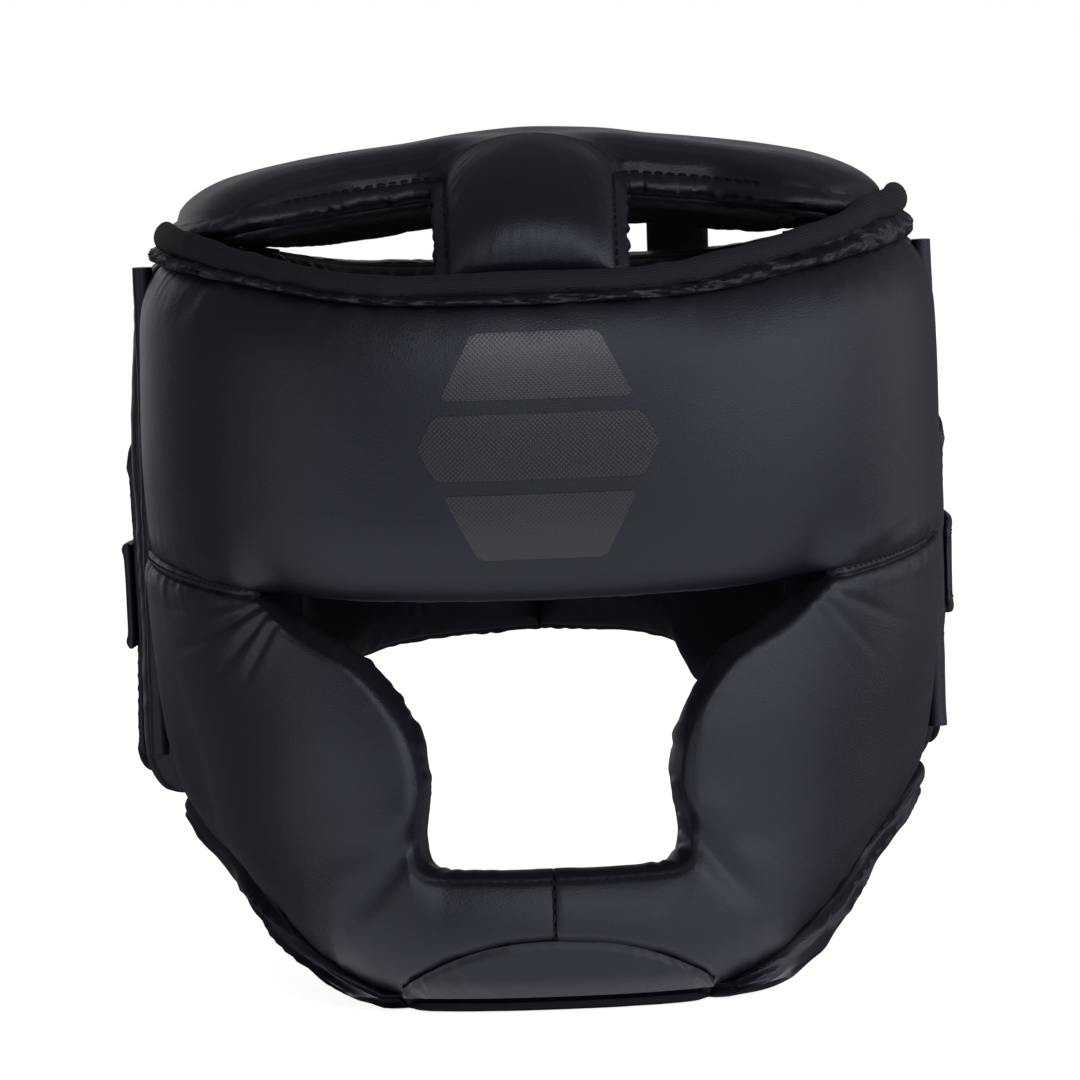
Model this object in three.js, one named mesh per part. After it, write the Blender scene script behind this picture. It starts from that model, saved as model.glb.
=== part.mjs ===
// Full-face boxing headgear, in millimetres. +Z is up, the face looks along -Y.
// "left" and "right" are the wearer's: left is +X.
// Every pad is an open dish of leather (cover), a foam core inside it and a lining on the head side.
import * as THREE from "three";

const DEG = Math.PI / 180;
const lerp = THREE.MathUtils.lerp;
const clamp = THREE.MathUtils.clamp;
const smoothstep = THREE.MathUtils.smoothstep;

// Sheet thicknesses and clearances
const LEATHER = 1.4;
const LINING = 1.4;
const GAP = 0.35;
const FOAM_GAP = 0.9;
const WALL_INSET = 1.7;
const FOAM_INSET = 3.6;

// Heights of the seams
const CHIN_TOP = 38;
const CHIN_LOW = 3.5;
const SEAM_FRONT = 115;
const SEAM_SIDE = 121;
const BROW_LOW = 113;
const BINDING_RADIUS = 3.3;
const STRAP_LOW = 92;
const STRAP_HIGH = 122;

// Angles round the head, from 0 at the face to 180 at the back
const CHIN_SEAM = 0.12;
const EYE_CORNER = 42;
const BROW_END = 89.7;
const FACE_END = 89.7;
const SIDE_START = 90.3;
const SIDE_END = 127;
const WING_START = 127.6;
const WING_END = 178.2;
const ANGLE_STEP = 7.5;
const FLAP_START = 97.5;
const FLAP_END = 150;
const STRAP_END = 187.5;

const group = new THREE.Group();
group.name = "boxing_headgear";

const FINISH = {
  leather: { color: 0x25262c, roughness: 0.45 },
  foam: { color: 0x4a4b50, roughness: 0.95 },
  lining: { color: 0x2b2c33, roughness: 0.6 },
  knit: { color: 0x1f2026, roughness: 0.9 },
  print: { color: 0x4a4b54, roughness: 0.35 },
  hook: { color: 0x18181c, roughness: 0.8 },
  loop: { color: 0x1c1c22, roughness: 1.0 },
};

// Smooth curve through [height, value] knots
function profile(...knots) {
  const slope = knots.map((knot, i) => {
    const before = knots[Math.max(i - 1, 0)];
    const after = knots[Math.min(i + 1, knots.length - 1)];
    return (after[1] - before[1]) / (after[0] - before[0]);
  });
  return (at) => {
    const x = clamp(at, knots[0][0], knots[knots.length - 1][0]);
    let i = 0;
    while (i < knots.length - 2 && x > knots[i + 1][0]) i += 1;
    const [x0, y0] = knots[i];
    const [x1, y1] = knots[i + 1];
    const run = x1 - x0;
    const t = (x - x0) / run;
    const rise = t * t * (3 - 2 * t);
    return (
      lerp(y0, y1, rise) +
      run * t * (1 - t) * ((1 - t) * slope[i] - t * slope[i + 1])
    );
  };
}

// The head form: half-width at the face, half-width at the nape, reach to the front and to the back
const faceWidth = profile(
  [0, 86], [20, 91], [38, 95], [60, 100], [85, 107],
  [110, 111], [125, 112.5], [190, 112.5], [215, 107],
);
const napeWidth = profile([45, 108], [60, 110.5], [90, 112.5], [190, 112.5], [215, 107]);
const frontReach = profile(
  [0, 121], [18, 128], [38, 128], [70, 128],
  [113, 126], [150, 129.5], [180, 128], [215, 118],
);
const backReach = profile([45, 109], [60, 112], [90, 118.5], [140, 124], [190, 119], [215, 109]);
const SQUARENESS = 2 / 2.4;

const bend = (value) => Math.sign(value) * Math.abs(value) ** SQUARENESS;

// Point on the head form at an angle and a height, depth millimetres under its surface
function skin(angle, z, depth) {
  const nape = smoothstep(Math.abs(angle), 70, 95);
  const half = lerp(faceWidth(z), napeWidth(z), nape) - depth;
  const middle = (backReach(z) - frontReach(z)) / 2;
  const reach = (backReach(z) + frontReach(z)) / 2 - depth;
  return [half * bend(Math.sin(angle * DEG)), middle - reach * bend(Math.cos(angle * DEG)), z];
}

// Adds a closed body made of points and triangles, facing out whichever way it was wound
function addBody(name, finish, points, triangles) {
  const corner = points.map((p) => new THREE.Vector3(...p));
  const volume = triangles.reduce((sum, [a, b, c]) => {
    return sum + corner[a].dot(new THREE.Vector3().crossVectors(corner[b], corner[c]));
  }, 0);
  const wound = volume < 0 ? triangles.map(([a, b, c]) => [a, c, b]) : triangles;
  const geometry = new THREE.BufferGeometry();
  geometry.setAttribute("position", new THREE.Float32BufferAttribute(points.flat(), 3));
  geometry.setIndex(wound.flat());
  geometry.computeVertexNormals();
  const { color, roughness } = FINISH[finish];
  const material = new THREE.MeshStandardMaterial({ color, roughness, metalness: 0 });
  material.name = finish;
  const mesh = new THREE.Mesh(geometry, material);
  mesh.name = name;
  group.add(mesh);
}

// Triangles of a grid of cells whose first point is `start`
function gridTriangles(columns, rows, start) {
  const found = [];
  for (let i = 0; i < columns; i += 1) {
    for (let j = 0; j < rows; j += 1) {
      const a = start + i * (rows + 1) + j;
      const b = a + rows + 1;
      found.push([a, b, b + 1], [a, b + 1, a + 1]);
    }
  }
  return found;
}

// Grid indices round the edge of a grid, in order
function edgeLoop(columns, rows) {
  const loop = [];
  for (let i = 0; i < columns; i += 1) loop.push([i, 0]);
  for (let j = 0; j < rows; j += 1) loop.push([columns, j]);
  for (let i = columns; i > 0; i -= 1) loop.push([i, rows]);
  for (let j = rows; j > 0; j -= 1) loop.push([0, j]);
  return loop;
}

// Joins two loops of point indices with a band of triangles
function bridge(from, to) {
  return from.flatMap((a, k) => {
    const next = (k + 1) % from.length;
    return [
      [from[next], a, to[k]],
      [from[next], to[k], to[next]],
    ];
  });
}

function gridPoints(columns, rows, place) {
  const points = [];
  for (let i = 0; i <= columns; i += 1) {
    for (let j = 0; j <= rows; j += 1) points.push(place(i, j));
  }
  return points;
}

const flip = (triangles) => triangles.map(([a, b, c]) => [a, c, b]);

// Solid between an outer and an inner grid of points
function addSlab(name, finish, columns, rows, outer, inner) {
  const count = (columns + 1) * (rows + 1);
  const index = ([i, j]) => i * (rows + 1) + j;
  const rim = edgeLoop(columns, rows).map(index);
  const points = [...gridPoints(columns, rows, outer), ...gridPoints(columns, rows, inner)];
  addBody(name, finish, points, [
    ...gridTriangles(columns, rows, 0),
    ...flip(gridTriangles(columns, rows, count)),
    ...bridge(rim, rim.map((k) => k + count)),
  ]);
}

// Open dish: outer face, side walls down to `rimDepth`, and the same again inside the leather
function addDish(name, finish, columns, rows, outer, outerRim, innerRim, inner) {
  const count = (columns + 1) * (rows + 1);
  const loop = edgeLoop(columns, rows);
  const faceRim = loop.map(([i, j]) => i * (rows + 1) + j);
  const points = [
    ...gridPoints(columns, rows, outer),
    ...gridPoints(columns, rows, inner),
    ...loop.map(([i, j]) => outerRim(i, j)),
    ...loop.map(([i, j]) => innerRim(i, j)),
  ];
  const backRim = faceRim.map((k) => k + count);
  const outerEdge = loop.map((_, k) => 2 * count + k);
  const innerEdge = outerEdge.map((k) => k + loop.length);
  addBody(name, finish, points, [
    ...gridTriangles(columns, rows, 0),
    ...bridge(faceRim, outerEdge),
    ...bridge(outerEdge, innerEdge),
    ...bridge(innerEdge, backRim),
    ...flip(gridTriangles(columns, rows, count)),
  ]);
}

// Length of the line a parameter draws, in millimetres
function lineLength(at) {
  const STEPS = 6;
  let length = 0;
  for (let k = 0; k < STEPS; k += 1) {
    const [a, b] = [at(k / STEPS), at((k + 1) / STEPS)];
    length += Math.hypot(a[0] - b[0], a[1] - b[1], a[2] - b[2]);
  }
  return length;
}

// A padded piece. surface(u, v, depth) is its shape; roll is how far the edge falls back over
// rollWidth; edge is the depth of the head side at the rim, belly how much deeper its middle is.
function padding({ surface, columns, rows, roll, rollWidth, edge, belly }) {
  const close = (k, cells) => (1 - Math.cos((Math.PI * k) / cells)) / 2;
  const node = (i, j) => {
    const u = close(i, columns);
    const v = close(j, rows);
    const across = lineLength((t) => surface(t, v, roll));
    const along = lineLength((t) => surface(u, t, roll));
    const round = (distance) => Math.sqrt(1 - (1 - clamp(distance / rollWidth, 0, 1)) ** 2);
    const fill = round(Math.min(u, 1 - u) * across) * round(Math.min(v, 1 - v) * along);
    return { u, v, across, along, fill };
  };
  const nodes = gridPoints(columns, rows, node);
  const place = (i, j, inset, depth, shiftU = 0) => {
    const { u, v, across, along, fill } = nodes[i * (rows + 1) + j];
    const insetU = inset / across;
    const insetV = inset / along;
    const atU = clamp(lerp(insetU, 1 - insetU, u) + shiftU / across, 0, 1);
    return surface(atU, lerp(insetV, 1 - insetV, v), depth(fill));
  };
  const face = (fill) => roll * (1 - fill);
  const back = (fill) => edge + belly * fill;
  return { place, face, back, edge, columns, rows };
}

function addCover(name, pad) {
  const { place, face, edge, columns, rows } = pad;
  addDish(
    name, "leather", columns, rows,
    (i, j) => place(i, j, 0, face),
    (i, j) => place(i, j, 0, () => edge),
    (i, j) => place(i, j, WALL_INSET, () => edge),
    (i, j) => place(i, j, WALL_INSET, (fill) => face(fill) + LEATHER),
  );
}

// Foam core, or the part of it between two columns
function addFoam(name, pad, first = 0, last = pad.columns) {
  const { place, face, back, rows, columns } = pad;
  const spread = (i) => {
    if (i === first && first > 0) return GAP;
    return i === last && last < columns ? -GAP : 0;
  };
  const at = (depth) => (k, j) => place(first + k, j, FOAM_INSET, depth, spread(first + k));
  addSlab(
    name, "foam", last - first, rows,
    at((fill) => face(fill) + LEATHER + FOAM_GAP),
    at((fill) => back(fill) - GAP),
  );
}

function addLining(name, pad) {
  const { place, back, columns, rows } = pad;
  addSlab(
    name, "lining", columns, rows,
    (i, j) => place(i, j, 0, (fill) => back(fill) + GAP),
    (i, j) => place(i, j, 0, (fill) => back(fill) + GAP + LINING),
  );
}

// Sheet on the head form between two angles; low and high give its heights
function addSheet(name, finish, { from, to, cells, low, high, rows = 1, outer, inner }) {
  const angle = (i) => lerp(from, to, i / cells);
  const height = (i, j) => lerp(low(angle(i)), high(angle(i)), j / rows);
  addSlab(
    name, finish, cells, rows,
    (i, j) => skin(angle(i), height(i, j), outer),
    (i, j) => skin(angle(i), height(i, j), inner),
  );
}

const mirrored = (surface, side) => (u, v, depth) => {
  const [x, y, z] = surface(u, v, depth);
  return [side * x, y, z];
};

const SIDES = [["left", 1], ["right", -1]];

// Forehead pad: a band from temple to temple
const browTop = profile([0, 194.5], [20, 195.5], [45, 201], [70, 204], [95, 204]);
const browLow = profile(
  [0, BROW_LOW], [30, BROW_LOW + 1], [EYE_CORNER, SEAM_FRONT + 0.8],
  [70, SEAM_SIDE - 1], [95, SEAM_SIDE + 1],
);
const bindingHeight = profile([0, 199.5], [18, 200.5], [45, 207.5], [65, 212], [95, 213]);

function buildForehead() {
  const surface = (u, v, depth) => {
    const angle = lerp(-BROW_END, BROW_END, u);
    return skin(angle, lerp(browLow(Math.abs(angle)), browTop(Math.abs(angle)), v), depth);
  };
  const pad = padding({ surface, columns: 14, rows: 5, roll: 9, rollWidth: 24, edge: 26, belly: 5 });
  addCover("forehead_cover", pad);
  addFoam("forehead_foam", pad);
  addLining("forehead_lining", pad);
}

// Knit tape rolled over the top edge of the forehead, and the gathered strip under it
function buildBrowEdge() {
  const CELLS = 24;
  const RING = 6;
  const END = 91;
  const CENTRE_DEPTH = 4;
  const STRIP = { outer: 3.4, inner: 7.4 };
  const centre = (i) => {
    const angle = lerp(-END, END, i / CELLS);
    return { angle, z: bindingHeight(Math.abs(angle)) };
  };
  const ring = (i, k) => {
    const { angle, z } = centre(i);
    const turn = (2 * Math.PI * (k + 0.5)) / RING;
    const [x, y] = skin(angle, z, CENTRE_DEPTH - BINDING_RADIUS * Math.cos(turn));
    return [x, y, z + BINDING_RADIUS * Math.sin(turn)];
  };
  const points = [];
  const triangles = [];
  for (let i = 0; i <= CELLS; i += 1) {
    for (let k = 0; k < RING; k += 1) points.push(ring(i, k));
  }
  for (let i = 0; i < CELLS; i += 1) {
    for (let k = 0; k < RING; k += 1) {
      const a = i * RING + k;
      const b = i * RING + ((k + 1) % RING);
      triangles.push([a, b, b + RING], [a, b + RING, a + RING]);
    }
  }
  for (let k = 1; k < RING - 1; k += 1) {
    triangles.push([0, k + 1, k]);
    triangles.push([CELLS * RING, CELLS * RING + k, CELLS * RING + k + 1]);
  }
  addBody("brow_binding", "knit", points, triangles);
  addSheet("brow_gather", "leather", {
    from: -BROW_END, to: BROW_END, cells: CELLS,
    low: (angle) => browTop(Math.abs(angle)) + GAP,
    high: (angle) => bindingHeight(Math.abs(angle)) - BINDING_RADIUS - GAP / 2,
    ...STRIP,
  });
}

// Printed emblem: a hexagon cut into three bars
function buildEmblem() {
  const CENTRE = 156;
  const BAR = 18;
  const SPACE = 4;
  const HALF_WIDTH = 33;
  const SLANT = 0.5;
  const THICK = 0.5;
  const widthAt = (z) => HALF_WIDTH - SLANT * Math.abs(z - CENTRE);
  const COLUMNS = 6;
  ["low", "middle", "high"].forEach((place, k) => {
    const bottom = CENTRE - 1.5 * BAR - SPACE + k * (BAR + SPACE);
    // The middle bar has a corner half way up each end
    const rows = place === "middle" ? 2 : 1;
    const point = (depth) => (i, j) => {
      const z = bottom + (BAR * j) / rows;
      const x = lerp(-widthAt(z), widthAt(z), i / COLUMNS);
      const turn = Math.asin((Math.abs(x) / faceWidth(z)) ** (1 / SQUARENESS));
      return skin((Math.sign(x) * turn) / DEG, z, depth);
    };
    addSlab(`emblem_${place}`, "print", COLUMNS, rows, point(-GAP - THICK), point(-GAP));
  });
}

// Half of the face mask: chin bar and cheek, fanned out from the edge of the face opening
const curveThrough = (...knots) => {
  return new THREE.SplineCurve(knots.map(([angle, z]) => new THREE.Vector2(angle, z)));
};
const openingEdge = curveThrough(
  [CHIN_SEAM, CHIN_TOP], [8, CHIN_TOP], [16, CHIN_TOP + 1], [18.6, 46], [17.4, 62],
  [18.6, 80], [24.5, 95], [34, 104], [EYE_CORNER, SEAM_FRONT - 1],
);
const jawEdge = curveThrough(
  [CHIN_SEAM, CHIN_LOW], [14, CHIN_LOW], [27, CHIN_LOW], [43, 9], [58, 21],
  [73, 35], [84, 47], [FACE_END, 68], [FACE_END, SEAM_SIDE],
);

function maskSurface(u, v, depth) {
  const inner = openingEdge.getPoint(u);
  const outer = jawEdge.getPoint(u);
  return skin(lerp(outer.x, inner.x, v), lerp(outer.y, inner.y, v), depth);
}

function buildMask() {
  const CHIN_COLUMNS = 3;
  for (const [name, side] of SIDES) {
    const pad = padding({
      surface: mirrored(maskSurface, side),
      columns: 10, rows: 6, roll: 8, rollWidth: 20, edge: 25, belly: 5,
    });
    addCover(`${name}_face_cover`, pad);
    addFoam(`${name}_chin_foam`, pad, 0, CHIN_COLUMNS);
    addFoam(`${name}_cheek_foam`, pad, CHIN_COLUMNS, pad.columns);
    addLining(`${name}_face_lining`, pad);
  }
}

// Panel sewn over the underside of the chin, and the flat binding it stands on
function buildChinEdge() {
  const PANEL_END = 27;
  const PANEL_LOW = 3.8;
  const PANEL_SIDE = 6;
  const PANEL_RISE = 10;
  const BINDING_END = 30;
  const BINDING_HEIGHT = 2.7;
  const JAW_START = 31;
  const JAW_END = 88;
  addSheet("chin_panel", "leather", {
    from: -PANEL_END, to: PANEL_END, cells: 12, rows: 2,
    low: () => PANEL_LOW,
    high: (angle) => PANEL_SIDE + PANEL_RISE * Math.cos((angle / PANEL_END) * 80 * DEG),
    outer: -1.2, inner: -GAP,
  });
  addSheet("chin_binding", "knit", {
    from: -BINDING_END, to: BINDING_END, cells: 12,
    low: () => 0,
    high: () => BINDING_HEIGHT,
    outer: 2, inner: 16,
  });
  const jaw = profile([JAW_START, 0.6], [43, 3], [58, 12], [73, 26], [JAW_END, 43]);
  const jawTop = profile([JAW_START, 3], [43, 7.8], [58, 18.6], [73, 32.6], [JAW_END, 51]);
  for (const [name, side] of SIDES) {
    addSheet(`${name}_jaw_gather`, "leather", {
      from: side * JAW_START, to: side * JAW_END, cells: 10,
      low: (angle) => jaw(Math.abs(angle)),
      high: (angle) => jawTop(Math.abs(angle)) - GAP,
      outer: 5, inner: 18,
    });
  }
}

// Side panel over the ear, and rear wing behind it
const sideLow = profile([SIDE_START, 53], [110, 55], [SIDE_END, 62], [150, 76], [180, 86]);
const rearTop = profile([SIDE_START, 203], [110, 204], [SIDE_END, 202], [150, 196.5], [180, 194]);

function bandSurface(from, to) {
  return (u, v, depth) => {
    const angle = lerp(from, to, u);
    return skin(angle, lerp(sideLow(angle), rearTop(angle), v), depth);
  };
}

function buildRear() {
  for (const [name, side] of SIDES) {
    const sidePad = padding({
      surface: mirrored(bandSurface(SIDE_START, SIDE_END), side),
      columns: 5, rows: 6, roll: 6, rollWidth: 16, edge: 23, belly: 5,
    });
    addCover(`${name}_side_cover`, sidePad);
    addFoam(`${name}_side_foam`, sidePad);
    addLining(`${name}_side_lining`, sidePad);
    const wingPad = padding({
      surface: mirrored(bandSurface(WING_START, WING_END), side),
      columns: 6, rows: 6, roll: 6, rollWidth: 16, edge: 20, belly: 4,
    });
    addCover(`${name}_wing_cover`, wingPad);
    addFoam(`${name}_wing_foam`, wingPad);
    addLining(`${name}_wing_lining`, wingPad);
  }
}

// Closure: a flap on each side, a strap from the right flap across the back to the left one
function buildClosure() {
  const flapLow = profile([FLAP_START, 55], [120, 61], [FLAP_END, 84]);
  const flapHigh = profile([FLAP_START, 152], [120, 150], [FLAP_END, 130]);
  for (const [name, side] of SIDES) {
    addSheet(`${name}_flap`, "leather", {
      from: side * FLAP_START, to: side * FLAP_END,
      cells: (FLAP_END - FLAP_START) / ANGLE_STEP, rows: 5,
      low: (angle) => flapLow(Math.abs(angle)),
      high: (angle) => flapHigh(Math.abs(angle)),
      outer: -2.8, inner: -0.7,
    });
  }
  const band = (name, finish, from, to, margin, outer, inner) => addSheet(name, finish, {
    from, to, cells: Math.abs(to - from) / ANGLE_STEP,
    low: () => STRAP_LOW + margin,
    high: () => STRAP_HIGH - margin,
    outer, inner,
  });
  const TAPE_START = FLAP_START + ANGLE_STEP;
  const TAPE_END = FLAP_END - ANGLE_STEP;
  band("strap_base", "leather", STRAP_END + 0.5, 360 - FLAP_START + 0.5, 0, -5.9, -3.15);
  band("strap_tail", "leather", FLAP_START, STRAP_END, 0, -6.5, -5.1);
  band("strap_hook", "hook", TAPE_START, TAPE_END, 3, -4.8, -4.1);
  band("strap_loop", "loop", TAPE_START, FLAP_END, 2, -3.8, -3.1);
}

// Crown pad across the top of the head, and its tongue to the forehead
const CROWN_HALF = 99.5;
const CROWN_WIDEST = 5;
const CROWN_FRONT = -58;
const CROWN_BACK = 75;
const CROWN_CORNER = 17;
const CROWN_ROLL = 8.5;
const TONGUE_HALF = 23;

// Half-width of the crown: an oval, widest over the ears
function crownHalfWidth(y) {
  const away = y < CROWN_WIDEST ? (CROWN_WIDEST - y) / 92 : (y - CROWN_WIDEST) / 80;
  return CROWN_HALF * (1 - away ** 2.4) ** (1 / 2.4);
}

// Height of the crown's sewn edge, arched from ear to ear and falling to the back
function crownEdgeHeight(x, y) {
  const forward = 3.5 * (Math.max(CROWN_WIDEST - y, 0) / 63) ** 2;
  const backward = 16 * (Math.max(y - CROWN_WIDEST, 0) / 70) ** 2;
  return 232 - 15 * (x / 101) ** 2 - forward - backward;
}

function crownSurface(u, v, depth) {
  const side = lerp(-1, 1, u);
  const row = lerp(CROWN_FRONT, CROWN_BACK, v);
  const x = side * crownHalfWidth(row);
  const y = row - CROWN_CORNER * (1 - v) * smoothstep(Math.abs(side), 0.6, 0.95);
  return [x, y, crownEdgeHeight(x, y) + CROWN_ROLL - depth];
}

const tongueCrest = new THREE.QuadraticBezierCurve(
  new THREE.Vector2(CROWN_FRONT - 0.6, 237.5),
  new THREE.Vector2(-106, 236),
  new THREE.Vector2(-112, 203.5),
);

function tongueSurface(u, v, depth) {
  const at = tongueCrest.getPoint(v);
  const along = tongueCrest.getTangent(v);
  const x = lerp(TONGUE_HALF, -TONGUE_HALF, u);
  return [x, at.x - depth * along.y, at.y + depth * along.x];
}

function buildCrown() {
  const crown = padding({
    surface: crownSurface,
    columns: 10, rows: 7, roll: CROWN_ROLL, rollWidth: 26, edge: CROWN_ROLL + 3.8, belly: 8,
  });
  addCover("crown_cover", crown);
  addFoam("crown_foam", crown);
  addLining("crown_lining", crown);
  const tongue = padding({
    surface: tongueSurface, columns: 4, rows: 5, roll: 5, rollWidth: 12, edge: 11, belly: 3,
  });
  addCover("tongue_cover", tongue);
  addFoam("tongue_foam", tongue);
  addLining("tongue_lining", tongue);
}

// Tab from the back of the crown down onto the left wing
const TAB_FROM = 34;
const TAB_TO = 52;
const TAB_LOW = 152;

function wingBack(x, z, depth) {
  const angle = 180 - Math.asin((x / napeWidth(z)) ** (1 / SQUARENESS)) / DEG;
  return skin(angle, z, depth);
}

function buildCrownTab() {
  const COLUMNS = 2;
  const ROWS = 8;
  const THICK = 1.8;
  const crease = (x) => new THREE.SplineCurve([
    ...[TAB_LOW, 166, 180].map((z) => {
      const [, y] = wingBack(x, z, -3.4);
      return new THREE.Vector2(y, z);
    }),
    new THREE.Vector2(118.5, 194),
    new THREE.Vector2(109, 205),
    new THREE.Vector2(92, 212),
    new THREE.Vector2(CROWN_BACK + 1.4, crownEdgeHeight(x, CROWN_BACK) - 3.2),
  ]);
  const point = (lift) => (i, j) => {
    const x = lerp(TAB_FROM, TAB_TO, i / COLUMNS);
    const curve = crease(x);
    const at = curve.getPoint(j / ROWS);
    const along = curve.getTangent(j / ROWS);
    return [x, at.x + lift * along.y, at.y - lift * along.x];
  };
  addSlab("crown_tab", "leather", COLUMNS, ROWS, point(THICK), point(0));
  const patch = (name, finish, low, high, outer, inner) => {
    const cell = (depth) => (i, j) => {
      const x = lerp(TAB_FROM + 2, TAB_TO - 2, i / COLUMNS);
      const z = lerp(low, high, j / 2);
      const [, y] = wingBack(x, z, depth);
      return [x, y, z];
    };
    addSlab(name, finish, COLUMNS, 2, cell(outer), cell(inner));
  };
  patch("tab_hook", "hook", TAB_LOW + 2, 176, -2.5, -1.8);
  patch("tab_loop", "loop", TAB_LOW - 4, 178, -1.4, -0.7);
}

// Strap under the chin, behind the chin bar
function buildChinStrap() {
  const END = 36;
  const LOW = 14;
  const HIGH = 34;
  const strap = (name, finish, from, to, low, high, outer, inner) => addSheet(name, finish, {
    from, to, cells: Math.abs(to - from) / 6,
    low: () => low,
    high: () => high,
    outer, inner,
  });
  strap("chin_strap_anchor", "leather", -END, -24, LOW, HIGH, 32.2, 36.6);
  strap("chin_strap", "leather", -22.5, 37.5, LOW, HIGH, 34.8, 36.6);
  strap("chin_strap_hook", "hook", 12, END, LOW + 2, HIGH - 2, 33.7, 34.5);
  strap("chin_strap_loop", "loop", 12, END, LOW + 1, HIGH - 1, 32.3, 33.3);
}

buildForehead();
buildBrowEdge();
buildEmblem();
buildMask();
buildChinEdge();
buildRear();
buildClosure();
buildCrown();
buildCrownTab();
buildChinStrap();

export default group;
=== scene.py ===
import math

import bpy
import numpy as np
from mathutils import Matrix, Vector


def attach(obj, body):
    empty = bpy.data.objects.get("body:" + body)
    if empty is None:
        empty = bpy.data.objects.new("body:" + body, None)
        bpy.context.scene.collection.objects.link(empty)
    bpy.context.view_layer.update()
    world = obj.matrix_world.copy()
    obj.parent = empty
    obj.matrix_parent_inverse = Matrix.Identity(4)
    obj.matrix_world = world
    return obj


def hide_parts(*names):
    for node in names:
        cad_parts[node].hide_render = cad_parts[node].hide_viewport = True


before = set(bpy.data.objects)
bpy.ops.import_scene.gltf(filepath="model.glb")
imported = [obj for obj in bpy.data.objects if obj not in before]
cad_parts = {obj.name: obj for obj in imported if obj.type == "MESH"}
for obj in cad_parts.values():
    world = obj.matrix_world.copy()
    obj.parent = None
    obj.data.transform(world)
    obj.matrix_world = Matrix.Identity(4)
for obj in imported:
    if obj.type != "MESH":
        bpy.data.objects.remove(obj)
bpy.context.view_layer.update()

# Shape work is in millimetres; meshes are made in metres. The face looks to -Y and +X is the wearer's left.
MM = 0.001

# Seams of the pads, as in the CAD source: heights, and angles round the head from the face
CHIN_TOP = 38
CHIN_LOW = 3.5
SEAM_FRONT = 115
SEAM_SIDE = 121
EYE_CORNER = 42
BROW_END = 90.05
SIDE_START = 90.15
SIDE_END = 127
WING_START = 127.6
WING_END = 180.4
BINDING_RADIUS = 3.3
STRAP_LOW = 92
STRAP_HIGH = 122
FLAP_START = 97.5
FLAP_END = 150
STRAP_HINGE = 187.5
STRAP_END = 263
PANEL_END = 27.0
# Axis of the joint right_rear_opening; the seam on the left is its mirror image
HINGE_X, HINGE_Y = 110, -5.5
# Power of the rounded-square outline of the head form's level sections
SQUARENESS = 2 / 2.4
# How much of a cheek pad's wall round the face opening runs straight back
WALL_FLARE = 0.5

# ---- curves and noise


def profile(*knots):
    """Smooth curve through (position, value) knots, for arrays."""
    xs, ys = np.array(knots, float).T
    count = len(xs)
    order = np.arange(count)
    before = np.maximum(order - 1, 0)
    after = np.minimum(order + 1, count - 1)
    slope = (ys[after] - ys[before]) / (xs[after] - xs[before])

    def at(value):
        x = np.clip(value, xs[0], xs[-1])
        i = np.clip(np.searchsorted(xs, x, side="right") - 1, 0, count - 2)
        run = xs[i + 1] - xs[i]
        t = (x - xs[i]) / run
        rise = t * t * (3 - 2 * t)
        pull = (1 - t) * slope[i] - t * slope[i + 1]
        return ys[i] + (ys[i + 1] - ys[i]) * rise + run * t * (1 - t) * pull

    return at


def catmull_rom(knots, t):
    """Catmull-Rom curve at t of 0 to 1; the first axis of knots runs through the curve's points."""
    last = len(knots) - 1
    p = np.clip(t, 0, 1) * last
    i = np.minimum(np.floor(p).astype(int), last - 1)
    w = (p - i)[..., None]
    near = [np.clip(i + k, 0, last)[None, ..., None] for k in (-1, 0, 1, 2)]
    p0, p1, p2, p3 = (np.take_along_axis(knots, k, 0)[0] for k in near)
    v0, v1 = (p2 - p0) / 2, (p3 - p1) / 2
    cubic = (2 * p1 - 2 * p2 + v0 + v1) * w**3
    return cubic + (-3 * p1 + 3 * p2 - 2 * v0 - v1) * w**2 + v0 * w + p1


def spline(points):
    """Curve through 2-D points, for arrays of 0 to 1."""
    knots = np.array(points, float)

    def at(t):
        return catmull_rom(knots.reshape(len(knots), *(1,) * np.ndim(t), 2), t)

    return at


def smoothstep(value, low, high):
    t = np.clip((value - low) / (high - low), 0, 1)
    return t * t * (3 - 2 * t)


def noise2(x, y, seed=0):
    """Smooth value noise between -1 and 1."""
    xi, yi = np.floor(x), np.floor(y)
    xf, yf = x - xi, y - yi
    sx, sy = xf * xf * (3 - 2 * xf), yf * yf * (3 - 2 * yf)

    def lattice(a, b):
        h = np.sin(a * 127.1 + b * 311.7 + seed * 74.7) * 43758.5453
        return 2 * (h - np.floor(h)) - 1

    low = lattice(xi, yi) * (1 - sx) + lattice(xi + 1, yi) * sx
    high = lattice(xi, yi + 1) * (1 - sx) + lattice(xi + 1, yi + 1) * sx
    return low * (1 - sy) + high * sy


def ridges(x, y, seed):
    """Noise with sharp crests, between -1 and 1."""
    return 1 - 2 * abs(noise2(x, y, seed))


def circ(distance, width):
    """Quarter round: 0 at an edge, 1 from width onwards."""
    q = np.clip(distance / width, 0, 1)
    return np.sqrt(1 - (1 - q) ** 2)


# ---- the head form

# The form's half width and its reach to the front and the back, by height. Every pad is laid on it: a
# pad's shape is an array of depths under the form, so a roll or a groove adds depth and a fold takes it away.

face_width = profile(
    (0, 86), (20, 91), (38, 95), (60, 100), (85, 107), (110, 111), (125, 112.5), (190, 112.5), (215, 107)
)
nape_width = profile((45, 108), (60, 110.5), (90, 112.5), (190, 112.5), (215, 107))
front_reach = profile(
    (0, 121), (18, 128), (38, 128), (70, 128), (113, 126), (150, 129.5), (180, 128), (215, 118)
)
back_reach = profile((45, 109), (60, 112), (90, 118.5), (140, 124), (190, 119), (215, 109))

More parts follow.
